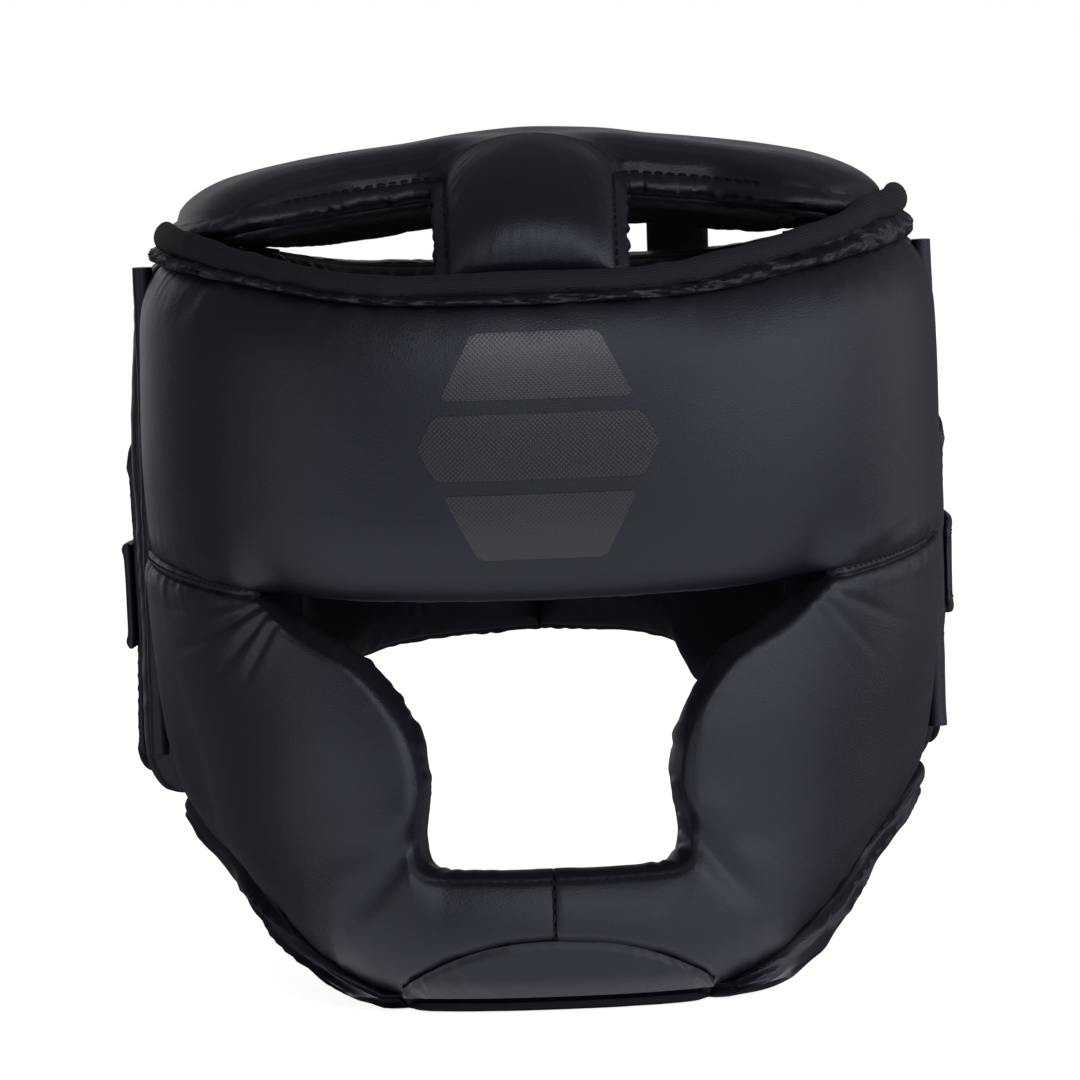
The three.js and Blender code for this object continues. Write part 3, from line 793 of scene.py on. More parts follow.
def make_mask(name, side):
    """One half of the face mask: a cheek pad and its half of the chin bar."""
    sheet = Sheet(sided(mask_surface, side), 190, 96)
    x, z = side * sheet.x, sheet.z
    depth = sheet.fall({"u0": (0.9, 3), "u1": (2.0, 6), "v0": (9 if side < 0 else 6.5, 24)})
    chin = 1 - smoothstep(x, 30, 44)
    depth += (2.2 + 4.8 * chin) * (1 - circ(sheet.v1, 3.2 + 12.8 * chin))
    depth += chin * groove(sheet.v1, 1.6, 0.4, 0.7)
    depth += 1.2 * (1 - circ(sheet.v1, 26))
    depth += panel_dent(x, z)
    depth -= sheet.gathers(("v1",), 4.5, 3.5, 0.2, 50 + side)
    depth -= sheet.gathers(("v0",), 8.0, 9.0, 0.8, 60 + side)
    depth -= sheet.gathers(("u1",), 7.0, 6.0, 0.6, 70 + side)
    depth += 0.9 * noise2(x / 30, z / 26, 17 + side)
    # (start, end, depth, width), from the mouth opening's and the eye opening's corners outwards
    folds = (
        ((38, 49), (58, 24), 4.2, 4.2),
        ((42, 47), (66, 44), 1.2, 5.0),
        ((79, 112), (104, 97), 2.7, 1.6),
        ((77, 110), (94, 89), 2.4, 1.5),
        ((75, 107), (84, 90), 1.6, 1.3),
        ((82, 113), (107, 109), 1.4, 1.8),
        ((30, 16), (44, 12), 0.8, 2.5),
    )
    for start, end, deep, width in folds:
        shallow = 0.2 if side > 0 and start[0] > 70 else 1.0
        depth += crease(x, z, start, end, deep * shallow, width)
    sheet.shape(depth)
    face, foams = f"{name}_face", (f"{name}_cheek_foam", f"{name}_chin_foam")
    wall = {"bulge": 0.9, "pucker": 0.1 + 0.8 * smoothstep(x, 26, 33)}
    add_cushion(face, face, foams, sheet, "shell", (21, 7, 22), 0.9, 80 + side, 90 + side, **wall)
    if side < 0:
        sew_edges("shell", sheet, ("u0",), 0.3, 0.5, (0.2, 0.97), 2.6, 0.9, 0.34)
    sew_edges("shell", sheet, ("v1",), 1.5, 0.15, (0.0, 0.3), 1.9, 0.9, 0.26)
    sew_edges("shell", sheet, ("v1",), 0.4, -0.3, (0.0, 1.0), 2.0, 1.9, 0.32)


def seam_surface(side):
    """Folded seam between the forehead and a cheek pad, from the eye corner back."""
    def surface(u, v, depth):
        turn = EYE_CORNER + 2.5 + (BROW_END - EYE_CORNER - 2.8) * u
        back = (turn - EYE_CORNER) / (BROW_END - EYE_CORNER)
        low = SEAM_FRONT - 1 + (SEAM_SIDE - SEAM_FRONT + 1) * back - 3.2
        high = brow_low(turn) + 1.6
        return skin(turn, low + (high - low) * v, depth) * np.array([side, 1, 1])
    return surface


def make_temple_seam(name, side):
    sheet = Sheet(seam_surface(side), 220, 22)
    middle = (sheet.v0 - sheet.v1) / 2
    depth = 1.3 + sheet.fall({"v0": (2.6, 2.2), "v1": (2.6, 2.2), "u0": (3.5, 6)})
    depth += 0.7 * np.exp(-((middle / 0.5) ** 2))
    depth += 0.3 * noise2(sheet.along("v0") / 4, sheet.V, 96) + groove(sheet.v0, 1.5, 0.3, 0.6)
    sheet.shape(depth)
    add_roll(f"{name}_temple_seam", sheet, (), 7.0, (), 0.2)
    sew_edges("shell", sheet, ("v0", "v1"), 1.5, 0.1, (0.02, 0.98), 1.7, 0.9, 0.3)


# ---- chin and jaw edges


def band_surface(start, end, low, high):
    def surface(u, v, depth):
        angle = start + (end - start) * u
        turn = abs(angle)
        return skin(angle, low(turn) + (high(turn) - low(turn)) * v, depth)
    return surface


def panel_high(turn):
    return panel_top(turn) + 0.6


def make_chin_panel():
    """Panel under the chin: it comes out of the seam and turns under."""
    low = profile((0, 1.4), (PANEL_END, 1.8))
    sheet = Sheet(band_surface(-PANEL_END, PANEL_END, low, panel_high), 260, 48)
    end = np.minimum(sheet.u0, sheet.u1)
    pleats = ridges(sheet.along("v0") / 3.0, sheet.V * 1.2, 101)
    depth = 2.2 - 1.0 * smoothstep(sheet.v1, 0, 3) + 7.5 * (1 - smoothstep(sheet.v0, -5, 9.5))
    depth -= 0.8 * np.exp(-end / 15) * pleats * smoothstep(sheet.v0, 0, 3)
    depth -= sheet.gathers(("v1",), 5.0, 3.0, 0.3, 103)
    sheet.shape(depth)
    add_roll("chin_underpanel", sheet, (10.8,), 12.0, ("chin_panel",), 0.4)


def make_chin_binding():
    """Flat knit tape under the chin; its ends tuck in behind the jaw strips."""
    front, back, middle, half_thick, end = 1.6, 15.5, 1.4, 1.35, 31
    angle = np.linspace(-end, end, 160)[:, None]
    turn = np.linspace(0, 1, 9)[None]
    across = front + (back - front) * turn
    sag = 0.25 * noise2(angle / 2.2, angle * 0, 111)
    depth = across + sag + 8.0 * smoothstep(abs(angle), end - 10, end) * (1 - turn)
    high = middle + half_thick * np.sqrt(np.maximum(np.sin(np.pi * turn), 0))
    top, bottom = (skin(angle, z, depth) for z in (high, np.maximum(2 * middle - high, 0.02)))
    lengths = np.stack(np.broadcast_arrays(angle * 2.0, across), axis=-1)
    solid = shell(top, [], bottom, lengths)
    add_piece("chin_edge_tape", solid, "shell", "knit_binding", ("chin_binding",), 70)


def make_jaw_strip(name, side):
    """Folded strip along the jaw; the one on the wearer's left hangs lower."""
    hang = 3.2 if side > 0 else 0.6
    low = profile((31, 0.6), (43, 5.6 - hang), (58, 15 - hang), (73, 28.2 - hang / 2), (88, 48))
    high = profile((31, 4.8), (43, 12.5), (58, 24.5), (73, 38), (88, 56))
    sheet = Sheet(sided(band_surface(28, 88, low, high), side), 300, 26)
    s = sheet.along("v0")
    long_folds = ridges(sheet.V * 3.2 + s / 60, s / 30, 121 + side)
    cross = noise2(s / 9, sheet.V * 2.2 + s / 40, 123 + side)
    depth = (5.5 if side < 0 else 3.9) - 2.6 * np.sin(np.pi * sheet.V) - 2.0 * long_folds - 0.6 * cross
    depth += 3.0 * (1 - circ(sheet.u0, 6)) + 3.0 * (1 - circ(sheet.u1, 6))
    sheet.shape(depth)
    add_roll(f"{name}_jaw_roll", sheet, (10.5, 14.5), 17.5, (f"{name}_jaw_gather",), 0.4)


# ---- side panels, wings, flaps


def make_seam_roll(name, side):
    """Leather roll in the seam behind the temple, on the axis that the rear part opens about."""
    z = np.linspace(64, 202, 120)
    path = np.stack([0 * z + side * HINGE_X, 0 * z + HINGE_Y, z], axis=1)
    radius = 2.8 + 0.2 * noise2(z / 7, 0 * z, 97 + side)
    solid = tube(path, radius, 14, np.tile([0.0, -1.0, 0.0], (len(z), 1)))
    add_piece(f"{name}_seam_roll", solid, "shell", "leather", fill=0.8)


def rear_surface(start, end, low):
    def surface(u, v, depth):
        angle = start + (end - start) * u
        return skin(angle, low(angle) + (rear_top(angle) - low(angle)) * v, depth)
    return surface


def low_swell(side, turn, z):
    """How far an ear pad and what lies on it stand out in front, as in the photograph; the right one more."""
    low, middle = (2.4, 1.8) if side < 0 else (-1.2, 0.0)
    amount = low * (1 - smoothstep(z, 58, 100)) + middle * (1 - smoothstep(z, 158, 190))
    return amount * (1 - smoothstep(abs(turn), 100, 138))


def add_rear_cushion(part, node, sheet, depth, body, wave, back, seed, lining):
    """Ear pad or wing with its lining."""
    depth -= sheet.gathers(ALL_EDGES, 7.0, 7.0, 0.6, seed)
    depth += 0.8 * noise2(sheet.u0 / wave, sheet.z / 24, seed + 3) * sheet.fill(10)
    sheet.shape(depth)
    add_cushion(part, node, (f"{node}_foam",), sheet, body, back, 0.8, seed + 5, seed + 7, lining)


def make_side(name, side, body):
    """Ear pad."""
    low = left_low if side > 0 else side_low
    sheet = Sheet(sided(rear_surface(SIDE_START, SIDE_END, low), side), 96, 130)
    depth = sheet.fall({"u0": (2.6, 8), "u1": (4, 12), "v0": (6, 16), "v1": (6, 16)})
    depth -= low_swell(side, SIDE_START + (SIDE_END - SIDE_START) * sheet.U, sheet.z)
    part, node = f"{name}_ear", f"{name}_side"
    add_rear_cushion(part, node, sheet, depth, body, 21, (23, 5, 16), 130 + side, (3.4, 0.9))
    sew_edges(body, sheet, ("u1", "v1"), 3.0, 0.1, (0.03, 0.97))


def make_wing(name, side, body):
    """Rear pad from the ear pad to the seam at the middle of the back."""
    low, end = (left_low, WING_END) if side > 0 else (side_low, 360 - WING_END)
    sheet = Sheet(sided(rear_surface(WING_START, end, low), side), 110, 120)
    depth = sheet.fall({"u0": (4, 12), "u1": (6, 14), "v0": (6, 16), "v1": (6, 16)})
    part = f"{name}_wing"
    add_rear_cushion(part, part, sheet, depth, body, 25, (20, 4, 16), 140 + side, (3.0, 0.8))
    sew_edges(body, sheet, ALL_EDGES, 3.2, 0.1, (0.04, 0.96))


def strip_piece(name, surface, size, body, slot, thick, base, node, bound=0.0, seed=0, rough_edge=0.15):
    """Flat sewn strip: a front, a back and rolled edges, with a raised bound edge if asked."""
    sheet = Sheet(surface, *size)
    near = np.minimum(sheet.v0, sheet.v1)
    base = base(sheet) if callable(base) else base
    lip = bound * np.exp(-(((near - 2.0) / 1.5) ** 2))
    wave = rough_edge * noise2(sheet.along("v0") / 9, sheet.v0 / 9, seed)
    front = base - thick - lip - wave
    nip = 0.35 * thick * (1 - sheet.fill(1.6))
    sheet.shape(front + nip)
    solid = shell(sheet.outer, [], sheet.at(base - nip), sheet.lengths)
    return sheet, add_piece(name, solid, body, slot, (node,), 60)


def add_tape(name, surface, size, body, thick, base, node, seed):
    """Hook or loop tape, by its name."""
    slot = "hook_tape" if "hook" in name else "loop_tape"
    strip_piece(name, surface, size, body, slot, thick, base, node, seed=seed, rough_edge=0.05)


def flap_surface(side):
    low = profile((FLAP_START, 55), (120, 61), (FLAP_END, 84))
    high = profile((FLAP_START, 152), (120, 150), (FLAP_END, 130))

    def surface(u, v, depth):
        turn = FLAP_START + (FLAP_END - FLAP_START) * u
        round_in = 9 * (1 - circ(u * 95, 11))
        bottom, top = low(turn) + round_in, high(turn) - round_in
        z = bottom + (top - bottom) * v
        return skin(turn, z, depth - low_swell(side, turn, z)) * np.array([side, 1, 1])
    return surface


def make_flap(name, side, body):
    """Closure flap on the ear pad and the wing, under the strap."""
    sheet, piece = strip_piece(
        f"{name}_closure_flap", flap_surface(side), (90, 80), body, "leather",
        2.0, -0.7, f"{name}_flap", bound=0.7, seed=150 + side, rough_edge=0.3,
    )
    sew_edges(body, sheet, ("v0", "v1"), 4.2, 0.1, (0.06, 0.97))
    sew_edges(body, sheet, ("u0",), 4.2, 0.1, (0.1, 0.9))


def strap_surface(start, end, margin=0.0, round_end=0.0):
    def surface(u, v, depth):
        angle = start + (end - start) * u
        inset = margin + round_end * (1 - circ(u * 60, 7))
        z = STRAP_LOW + inset + (STRAP_HIGH - STRAP_LOW - 2 * inset) * v
        side = np.where(angle > 180, -1, 1)
        turn = np.minimum(angle, 360 - angle)
        swell = np.where(side < 0, low_swell(-1, turn, z), 0)
        return skin(angle, z, depth - swell)
    return surface


def tail_base(sheet):
    """Inner side of the strap's tail; its free end lies down on the flap."""
    return -5.1 + 2.1 * (1 - smoothstep(sheet.u0, 1, 11))


def make_closure():
    """Strap across the back: one half sewn on at the right, the other closing on the left with its tapes."""
    sheet, piece = strip_piece(
        "closure_strap_base", strap_surface(STRAP_HINGE + 0.5, STRAP_END), (130, 40), "right_rear", "leather",
        2.3, -3.15, "strap_base", bound=0.5, seed=161,
    )
    sew_edges("right_rear", sheet, ("v0", "v1"), 4.4, 0.1, (0.01, 0.99))
    sheet, piece = strip_piece(
        "closure_strap_tail", strap_surface(FLAP_START, STRAP_HINGE, round_end=5), (170, 40), "strap",
        "leather", 1.2, tail_base, "strap_tail", bound=0.3, seed=163,
    )
    sew_edges("strap", sheet, ("v0", "v1"), 4.4, 0.1, (0.02, 0.99))
    sew_edges("strap", sheet, ("u1",), 4.0, 0.1, (0.05, 0.95))
    hook, loop = strap_surface(105, 142.5, 3), strap_surface(105, 150, 2)
    add_tape("closure_hook_tape", hook, (60, 16), "strap", 0.7, -4.1, "strap_hook", 165)
    add_tape("closure_loop_tape", loop, (70, 16), "shell", 0.7, -3.1, "strap_loop", 167)


# ---- crown and tongue

CROWN_HALF = 99.5
CROWN_WIDEST = 5
CROWN_FRONT = -58
CROWN_BACK = 75
CROWN_CORNER = 17
CROWN_HEIGHT = 226.5
CROWN_ARCH = 12.5
CROWN_PUFF = 9.6
TONGUE_HALF = 23
TONGUE_FILLET = 8
# Control points of the tongue's run, as (y, z)
TONGUE_CURVE = np.array([(CROWN_FRONT, 228.0), (-97.0, 224.0), (-110.5, 201.0)])
TONGUE_LENGTH = 62.0
# Grid lines of the panel
CROWN_COLUMNS, CROWN_ROWS, TONGUE_ROWS = 231, 100, 90
# Flange of the crown round its vents: (depth, how far it stands out)
FLANGE = ((0.5, 0.7), (1.2, 2.2), (2.4, 3.6), (3.8, 4.0), (5.0, 3.4), (5.8, 1.8))


def crown_edge_height(x, y):
    """Height of the crown without its puff: arched across, rising to the front and falling to the back."""
    forward = 1.5 * (np.maximum(CROWN_WIDEST - y, 0) / 63) ** 2
    backward = 11 * (np.maximum(y - CROWN_WIDEST, 0) / 70) ** 2
    return CROWN_HEIGHT - CROWN_ARCH * abs(x / 101) ** 1.6 + forward - backward


def crown_half_width(y):
    away = np.where(y < CROWN_WIDEST, (CROWN_WIDEST - y) / 92, (y - CROWN_WIDEST) / 80)
    return CROWN_HALF * (1 - away**2.4) ** (1 / 2.4)


def crown_surface(u, v, depth):
    side = -1 + 2 * u
    row = CROWN_FRONT + (CROWN_BACK - CROWN_FRONT) * v
    x = side * crown_half_width(row)
    y = row - CROWN_CORNER * (1 - v) * smoothstep(abs(side), 0.6, 0.95)
    return np.stack([x, y, crown_edge_height(x, y) - depth], axis=-1)


def tongue_half(length):
    return TONGUE_HALF + TONGUE_FILLET * (1 - circ(length, TONGUE_FILLET))


def tongue_surface(u, v, depth):
    """Front tongue, running down from the crown's front edge; it narrows through two fillets."""
    a, b, c = TONGUE_CURVE
    t = np.asarray(v, float)[..., None]
    at = (1 - t) ** 2 * a + 2 * t * (1 - t) * b + t**2 * c
    along = unit(2 * (1 - t) * (b - a) + 2 * t * (c - b))
    lean = smoothstep(t[..., 0], 0, 0.35)
    x = (2 * u - 1) * tongue_half(t[..., 0] * TONGUE_LENGTH)
    crowned = crown_edge_height(x, CROWN_FRONT) - crown_edge_height(0, CROWN_FRONT)
    z = at[..., 1] + crowned * (1 - lean) + depth * along[..., 0]
    return np.stack([x, at[..., 0] - lean * depth * along[..., 1], z], axis=-1)


def distance_to(points, outline):
    """Distance from flat points to a line of outline points."""
    return np.concatenate([
        np.min(np.hypot(*(chunk[:, None] - outline[None]).transpose(2, 0, 1)), axis=1)
        for chunk in np.array_split(points, 24)
    ])


class CrownPanel:
    """Grid of the T-shaped panel: the crown's, and the tongue's that goes on from its front edge."""

    def __init__(self):
        across = np.linspace(0, 1, CROWN_COLUMNS)
        self.u, self.v = np.meshgrid(across, spaced(CROWN_ROWS), indexing="ij")
        from_middle = 2 * across - 1
        reach = TONGUE_HALF + TONGUE_FILLET + 0.3
        self.core = np.where(abs(from_middle) * crown_half_width(CROWN_FRONT) <= reach)[0]
        share = from_middle[self.core] / from_middle[self.core[-1]]
        down = np.linspace(0, 1, TONGUE_ROWS + 1)[1:]
        self.tu, self.tv = np.meshgrid((share + 1) / 2, down, indexing="ij")
        self.base = self.place(np.zeros(self.u.size + self.tu.size))
        crown_length = (CROWN_BACK - CROWN_FRONT) * self.v
        self.length = np.concatenate([crown_length.ravel(), (-TONGUE_LENGTH * self.tv).ravel()])
        self.flat = np.stack([self.base[:, 0], self.length], axis=1)
        self.find_rim()

    def place(self, depth):
        crown, tongue = np.split(depth, [self.u.size])
        crown = crown_surface(self.u, self.v, crown.reshape(self.u.shape))
        tongue = tongue_surface(self.tu, self.tv, tongue.reshape(self.tu.shape))
        return np.concatenate([crown.reshape(-1, 3), tongue.reshape(-1, 3)])

    def on_crown(self, i, j):
        """Index of a point of the crown's grid."""
        return i * CROWN_ROWS + j

    def on_tongue(self, k, m):
        """Index of a point of the tongue's grid, whose row 0 is the crown's front edge."""
        return self.on_crown(self.core[k], 0) if m == 0 else self.u.size + k * TONGUE_ROWS + m - 1

    def find_rim(self):
        """Indices of the points round the panel: vent side, tongue's end, other vent side, the rest."""
        at, on, core = self.on_crown, self.on_tongue, self.core
        last, end, top = len(core) - 1, CROWN_COLUMNS - 1, CROWN_ROWS - 1
        self.first_vent = [at(i, 0) for i in range(core[0])] + [on(0, m) for m in range(TONGUE_ROWS)]
        self.bottom = [on(k, TONGUE_ROWS) for k in range(last)]
        self.second_vent = [on(last, m) for m in range(TONGUE_ROWS, 0, -1)]
        self.second_vent += [at(i, 0) for i in range(core[-1], end)]
        self.back = [at(i, top) for i in range(end, 0, -1)]
        ends = [at(end, j) for j in range(top)], [at(0, j) for j in range(top, 0, -1)]
        self.rim = np.array(self.first_vent + self.bottom + self.second_vent + ends[0] + self.back + ends[1])

    def faces(self):
        on, last = self.on_tongue, len(self.core) - 1
        quads = [grid_faces(CROWN_COLUMNS, CROWN_ROWS, 0)]
        for m in range(TONGUE_ROWS):
            row = [[on(k, m), on(k, m + 1), on(k + 1, m + 1), on(k + 1, m)] for k in range(last)]
            quads.append(np.array(row))
        return np.concatenate(quads)


def crown_relief(panel):
    """Depth of the panel's leather, and how full the foam under it is."""
    flat, length = panel.flat, panel.length
    x = flat[:, 0]
    front = distance_to(flat, flat[np.array(panel.first_vent + panel.second_vent)])
    low = distance_to(flat, flat[np.array(panel.bottom + panel.second_vent[:1])])
    rear = distance_to(flat, flat[np.array(panel.back)])
    half = crown_half_width(CROWN_FRONT + np.maximum(length, 0))
    ends = np.where(length >= 0, np.minimum(abs(x + half), abs(x - half)), 99)
    fill = circ(front, 24) * circ(low, 15) * circ(rear, 27) * circ(ends, 24)
    depth = -CROWN_PUFF * fill
    ridge = 1 - smoothstep(abs(x), 19, 36)
    depth -= 0.8 * ridge * fill - 0.8 * noise2(x / 30, length / 26, 175)
    around = np.arctan2(x, length - 10) * 60
    fine = noise2(around / 2.1, front / 6, 172)
    depth -= np.exp(-front / 5) * (0.35 * ridges(around / 5, front / 14, 171) + 0.25 * fine)
    pleat = noise2(x / 3.0, low / 9, 173) + 0.6 * noise2(x / 1.5, low / 5, 174)
    depth -= 0.5 * np.exp(-low / 4.5) * pleat
    return depth, fill


def smooth_round(values, count):
    """Running mean of values round a closed line."""
    return np.convolve(np.pad(values, count // 2, mode="wrap"), np.ones(count) / count, "valid")


def crown_outward(panel, along):
    """Directions out of the panel at its rim: level on the crown, across the leather on the tongue."""
    level = np.cross(along, [0.0, 0.0, 1.0])
    on_tongue = (panel.rim >= panel.u.size) & (panel.base[panel.rim][:, 2] < 216)
    hanging = np.cross(along, np.cross([1.0, 0, 0], [0, -0.55, -0.83]))
    out = unit(np.where(on_tongue[:, None], -hanging, level))
    return np.stack([smooth_round(out[:, k], 7) for k in range(3)], axis=1)


def crown_flange(panel, out, along):
    """Rings of the rolled edge round the panel; it hardly stands out at the tongue's end."""
    s = np.cumsum(np.linalg.norm(along, axis=1) / 2)
    share = np.ones(len(panel.rim))
    share[len(panel.first_vent):len(panel.first_vent) + len(panel.bottom)] = 0.25
    share = smooth_round(share, 9)
    rings = []
    for sink, spread in FLANGE:
        wave = 0.95 * noise2(s / 2.6, sink * 0.35, 176) + 0.4 * noise2(s / 1.3, sink * 0.4, 178)
        level = np.zeros(len(panel.base))
        level[panel.rim] = sink + 0.4 * wave
        reach = (spread * share + 0.55 * wave * min(sink, 2.0) / 2)[:, None]
        rings.append(panel.place(level)[panel.rim] + out * reach)
    return rings


def make_crown():
    """Crown and tongue: one leather panel in the shape of a T, over foam."""
    panel = CrownPanel()
    edge = panel.base[panel.rim]
    along = np.roll(edge, -1, axis=0) - np.roll(edge, 1, axis=0)
    out = crown_outward(panel, along)
    rings = crown_flange(panel, out, along)
    depth, fill = crown_relief(panel)
    inner = panel.place(5.9 + 1.5 * fill)
    solid = close_body(panel.place(depth), panel.faces(), panel.rim, rings, inner, panel.flat)
    stands = ("crown_cover", "crown_foam", "tongue_cover", "tongue_foam")
    add_piece("crown_pad", solid, "shell", "leather", stands, fill=0.8)
    lift = out * 0.75 + np.array([0, -0.35, 0.55])
    first, second = len(panel.first_vent), len(panel.first_vent) + len(panel.bottom)
    for part in (slice(18, first - 4), slice(second + 4, second + len(panel.second_vent) - 18)):
        sew("shell", edge[part] + 0.9 * lift[part], lift[part], 2.2, 1.1, 0.3)


def make_crown_linings():
    for name, surface, size, width, seed, height in (
        ("crown", crown_surface, (200, 90), 24, 179, 0.8),
        ("tongue", tongue_surface, (60, 80), 14, 187, 0.4),
    ):
        sheet = Sheet(surface, *size)
        add_lining(f"{name}_inside", sheet, "shell", 6.0, 1.7, width, (f"{name}_lining",), seed, 1.2, height)
# ---- crown tab and chin strap

TAB_FROM, TAB_TO, TAB_LOW = 34.0, 52.0, 152.0
# Path of the tab's free run from the wing up to the crown, as (y, z)
TAB_RISE = ((118.5, 194), (109, 205), (92, 212))


def wing_back(x, z, depth):
    ratio = np.clip(x / nape_width(z), 0, 1) ** (1 / SQUARENESS)
    return skin(180 - np.degrees(np.arcsin(ratio)), z, depth)


def tab_surface(u, v, depth):
    x = TAB_FROM + (TAB_TO - TAB_FROM) * np.asarray(u, float)
    v = np.broadcast_to(v, x.shape)
    level = np.ones_like(x)
    low = [np.stack([wing_back(x, z * level, -3.4)[..., 1], z * level], -1) for z in (TAB_LOW, 166, 180)]
    high = [np.broadcast_to(p, x.shape + (2,)) for p in TAB_RISE]
    end = np.stack([(CROWN_BACK + 1.4) * level, crown_edge_height(x, CROWN_BACK) - 3.2], -1)
    knots = np.stack([*low, *high, end])
    here = catmull_rom(knots, v)
    along = unit(catmull_rom(knots, v + 0.004) - catmull_rom(knots, v - 0.004))
    return np.stack([x, here[..., 0] - depth * along[..., 1], here[..., 1] + depth * along[..., 0]], -1)


def patch_surface(low, high):
    def surface(u, v, depth):
        return wing_back(TAB_FROM + 2 + (TAB_TO - TAB_FROM - 4) * u, low + (high - low) * v, depth)
    return surface


def make_crown_tab():
    """Narrow strap that ties the crown to the left wing."""
    sheet, piece = strip_piece(
        "crown_adjuster_tab", tab_surface, (40, 120), "crown_tab", "leather",
        1.8, 0.0, "crown_tab", seed=191, rough_edge=0.1,
    )
    sew_edges("crown_tab", sheet, ("u0", "u1"), 3.0, 0.1, (0.03, 0.97))
    hook, loop = patch_surface(TAB_LOW + 2, 176), patch_surface(TAB_LOW - 4, 178)
    add_tape("tab_hook_tape", hook, (24, 24), "crown_tab", 0.6, -1.85, "tab_hook", 193)
    add_tape("tab_loop_tape", loop, (24, 26), "shell", 0.7, -0.7, "tab_loop", 195)


def chin_strip(start, end, margin):
    def surface(u, v, depth):
        return skin(start + (end - start) * u, 14 + margin + (20 - 2 * margin) * v, depth)
    return surface


def make_chin_strap():
    """Strap behind the chin bar, closing on a tape."""
    sheet, piece = strip_piece(
        "chin_strap_band", chin_strip(-22.5, 37.5, 0), (80, 30), "chin_strap", "leather",
        1.7, 36.5, "chin_strap", seed=201, rough_edge=0.1,
    )
    sew_edges("chin_strap", sheet, ("v0", "v1"), 2.6, 0.05, (0.03, 0.97), 2.2, 1.2, 0.28)
    strip_piece(
        "chin_strap_root", chin_strip(-36, -24, 0), (24, 24), "shell", "leather",
        4.2, 36.5, "chin_strap_anchor", seed=203, rough_edge=0.1,
    )
    hook, loop = chin_strip(12, 36, 2), chin_strip(12, 36, 1)
    add_tape("chin_hook_tape", hook, (40, 20), "chin_strap", 0.7, 34.5, "chin_strap_hook", 205)
    add_tape("chin_loop_tape", loop, (40, 20), "shell", 0.9, 33.3, "chin_strap_loop", 207)


# ---- make everything

forehead = make_forehead()
make_brow_tape()
make_brow_strip()
make_emblem(forehead)
for name, side in (("left", 1), ("right", -1)):
    body = "shell" if side > 0 else "right_rear"
    make_mask(name, side)
    make_temple_seam(name, side)
    make_jaw_strip(name, side)
    make_seam_roll(name, side)
    make_side(name, side, body)
    make_wing(name, side, body)
    make_flap(name, side, body)
make_chin_panel()
make_chin_binding()
make_closure()
make_crown()
make_crown_linings()
make_crown_tab()
make_chin_strap()
finish_threads()

# ---- studio

LIGHT_TINT = (0.93, 0.95, 1.0)
SURROUND = 0.11
MIDDLE = (0, 0, 0.12)
# Name, place, target, size in metres, power in watts
LIGHTS = (
    ("key", (1.9, -1.7, 0.75), MIDDLE, (1.9, 1.4), 20),
    ("side", (2.3, -0.3, 0.6), MIDDLE, (1.4, 1.2), 10),
    ("front", (-0.1, -2.7, 0.85), MIDDLE, (2.0, 1.2), 10.5),
    ("high", (0.2, -1.9, 1.75), (0, 0, 0.15), (1.8, 0.8), 15),
    ("fill", (-2.1, -1.0, 0.35), MIDDLE, (1.2, 1.2), 3.5),
    ("rim", (2.0, 1.3, 0.3), MIDDLE, (0.8, 1.3), 3),
    ("back", (-0.5, 2.7, 0.4), MIDDLE, (2.0, 1.0), 5),
    ("table", (0, -0.38, 0.004), (0, -0.38, 1.0), (1.4, 0.58), 2.2),
)
CAMERA_TARGET = (-0.0005, 0, 0.1203)
CAMERA_DISTANCE = 3.20
CAMERA_ELEVATION = math.radians(4.5)
CAMERA_ROLL = math.radians(2.1)
# Millimetres of lens for each metre of distance, so that the object fills the frame as in the photograph
LENS_PER_METRE = 117.6


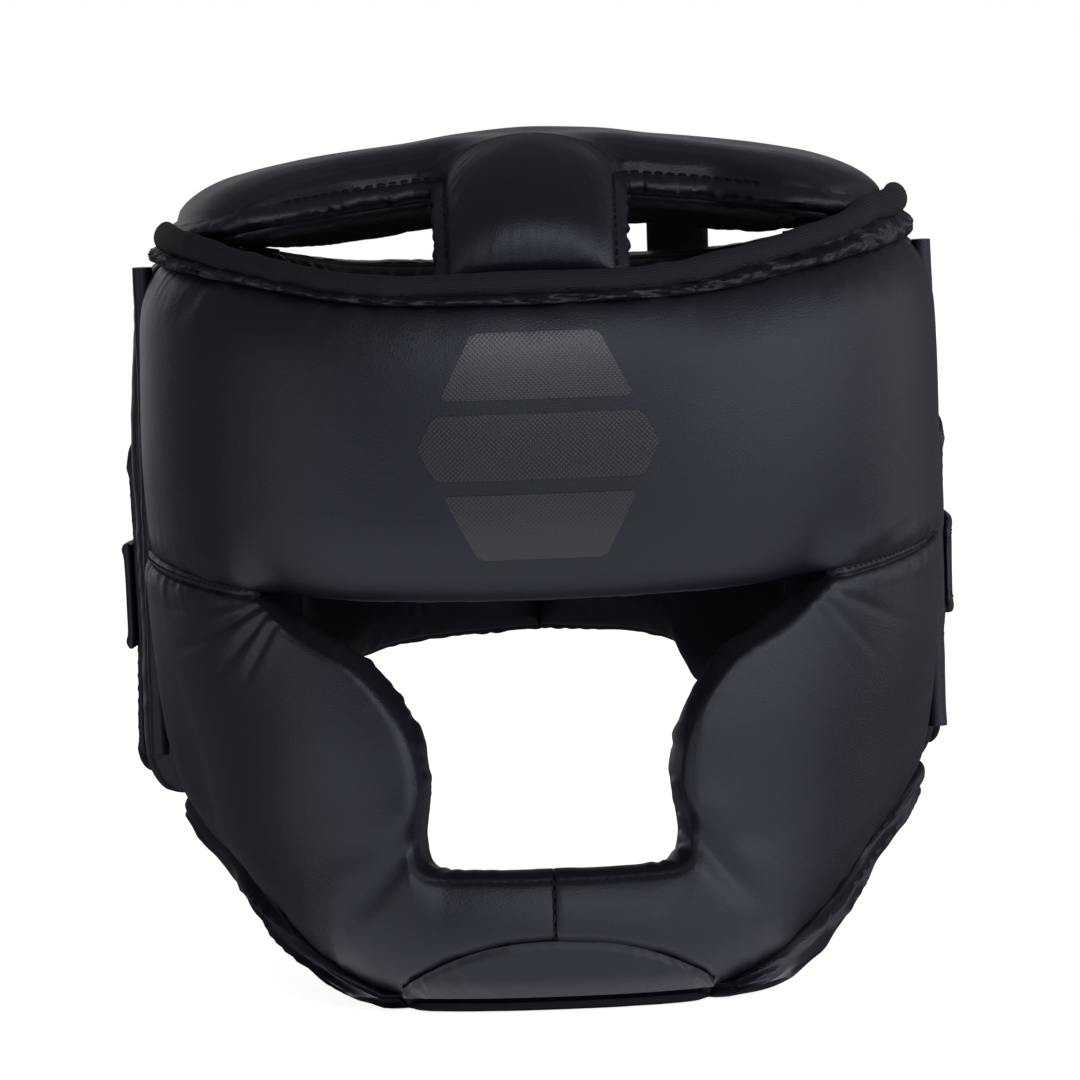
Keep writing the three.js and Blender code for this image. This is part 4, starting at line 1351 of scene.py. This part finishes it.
def make_floor():
    half = 4.0
    corners = [(-half, -half, 0), (half, -half, 0), (half, half, 0), (-half, half, 0)]
    mesh = bpy.data.meshes.new("floor")
    mesh.from_pydata(corners, [], [(0, 1, 2, 3)])
    floor = bpy.data.objects.new("floor", mesh)
    bpy.context.collection.objects.link(floor)
    m = Nodes("floor")
    m.set(Base_Color=(0.8, 0.8, 0.8, 1), Roughness=0.9, Specular_IOR_Level=0.0)
    m.set(Emission_Color=(1, 1, 1, 1), Emission_Strength=0.9)
    mesh.materials.append(m.material)
    floor.visible_diffuse = False
    floor.visible_glossy = False


def add_light(name, place, target, size, power):
    data = bpy.data.lights.new(name, "AREA")
    data.shape = "RECTANGLE"
    data.size, data.size_y = size
    data.energy = power
    data.color = LIGHT_TINT
    light = bpy.data.objects.new(name, data)
    light.location = place
    light.rotation_euler = (Vector(target) - light.location).to_track_quat("-Z", "Y").to_euler()
    light.visible_camera = False
    bpy.context.collection.objects.link(light)


def make_world():
    """White to the camera; a dim bluish surround for the reflections."""
    world = bpy.data.worlds.new("studio")
    bpy.context.scene.world = world
    world.use_nodes = True
    tree = world.node_tree
    seen = tree.nodes.new("ShaderNodeLightPath")
    mix = tree.nodes.new("ShaderNodeMixRGB")
    mix.inputs["Color1"].default_value = (*(SURROUND * c for c in LIGHT_TINT), 1)
    mix.inputs["Color2"].default_value = (1, 1, 1, 1)
    tree.links.new(seen.outputs["Is Camera Ray"], mix.inputs["Fac"])
    tree.links.new(mix.outputs["Color"], tree.nodes["Background"].inputs["Color"])


def make_camera():
    away = Vector((0.0, -math.cos(CAMERA_ELEVATION), math.sin(CAMERA_ELEVATION)))
    data = bpy.data.cameras.new("camera")
    data.lens = LENS_PER_METRE * CAMERA_DISTANCE
    camera = bpy.data.objects.new("camera", data)
    bpy.context.collection.objects.link(camera)
    turn = (-away).to_track_quat("-Z", "Y").to_matrix().to_4x4() @ Matrix.Rotation(-CAMERA_ROLL, 4, "Z")
    camera.matrix_world = Matrix.Translation(Vector(CAMERA_TARGET) + CAMERA_DISTANCE * away) @ turn
    bpy.context.scene.camera = camera


make_floor()
make_world()
for light in LIGHTS:
    add_light(*light)
make_camera()
bpy.context.scene.view_settings.view_transform = "Standard"
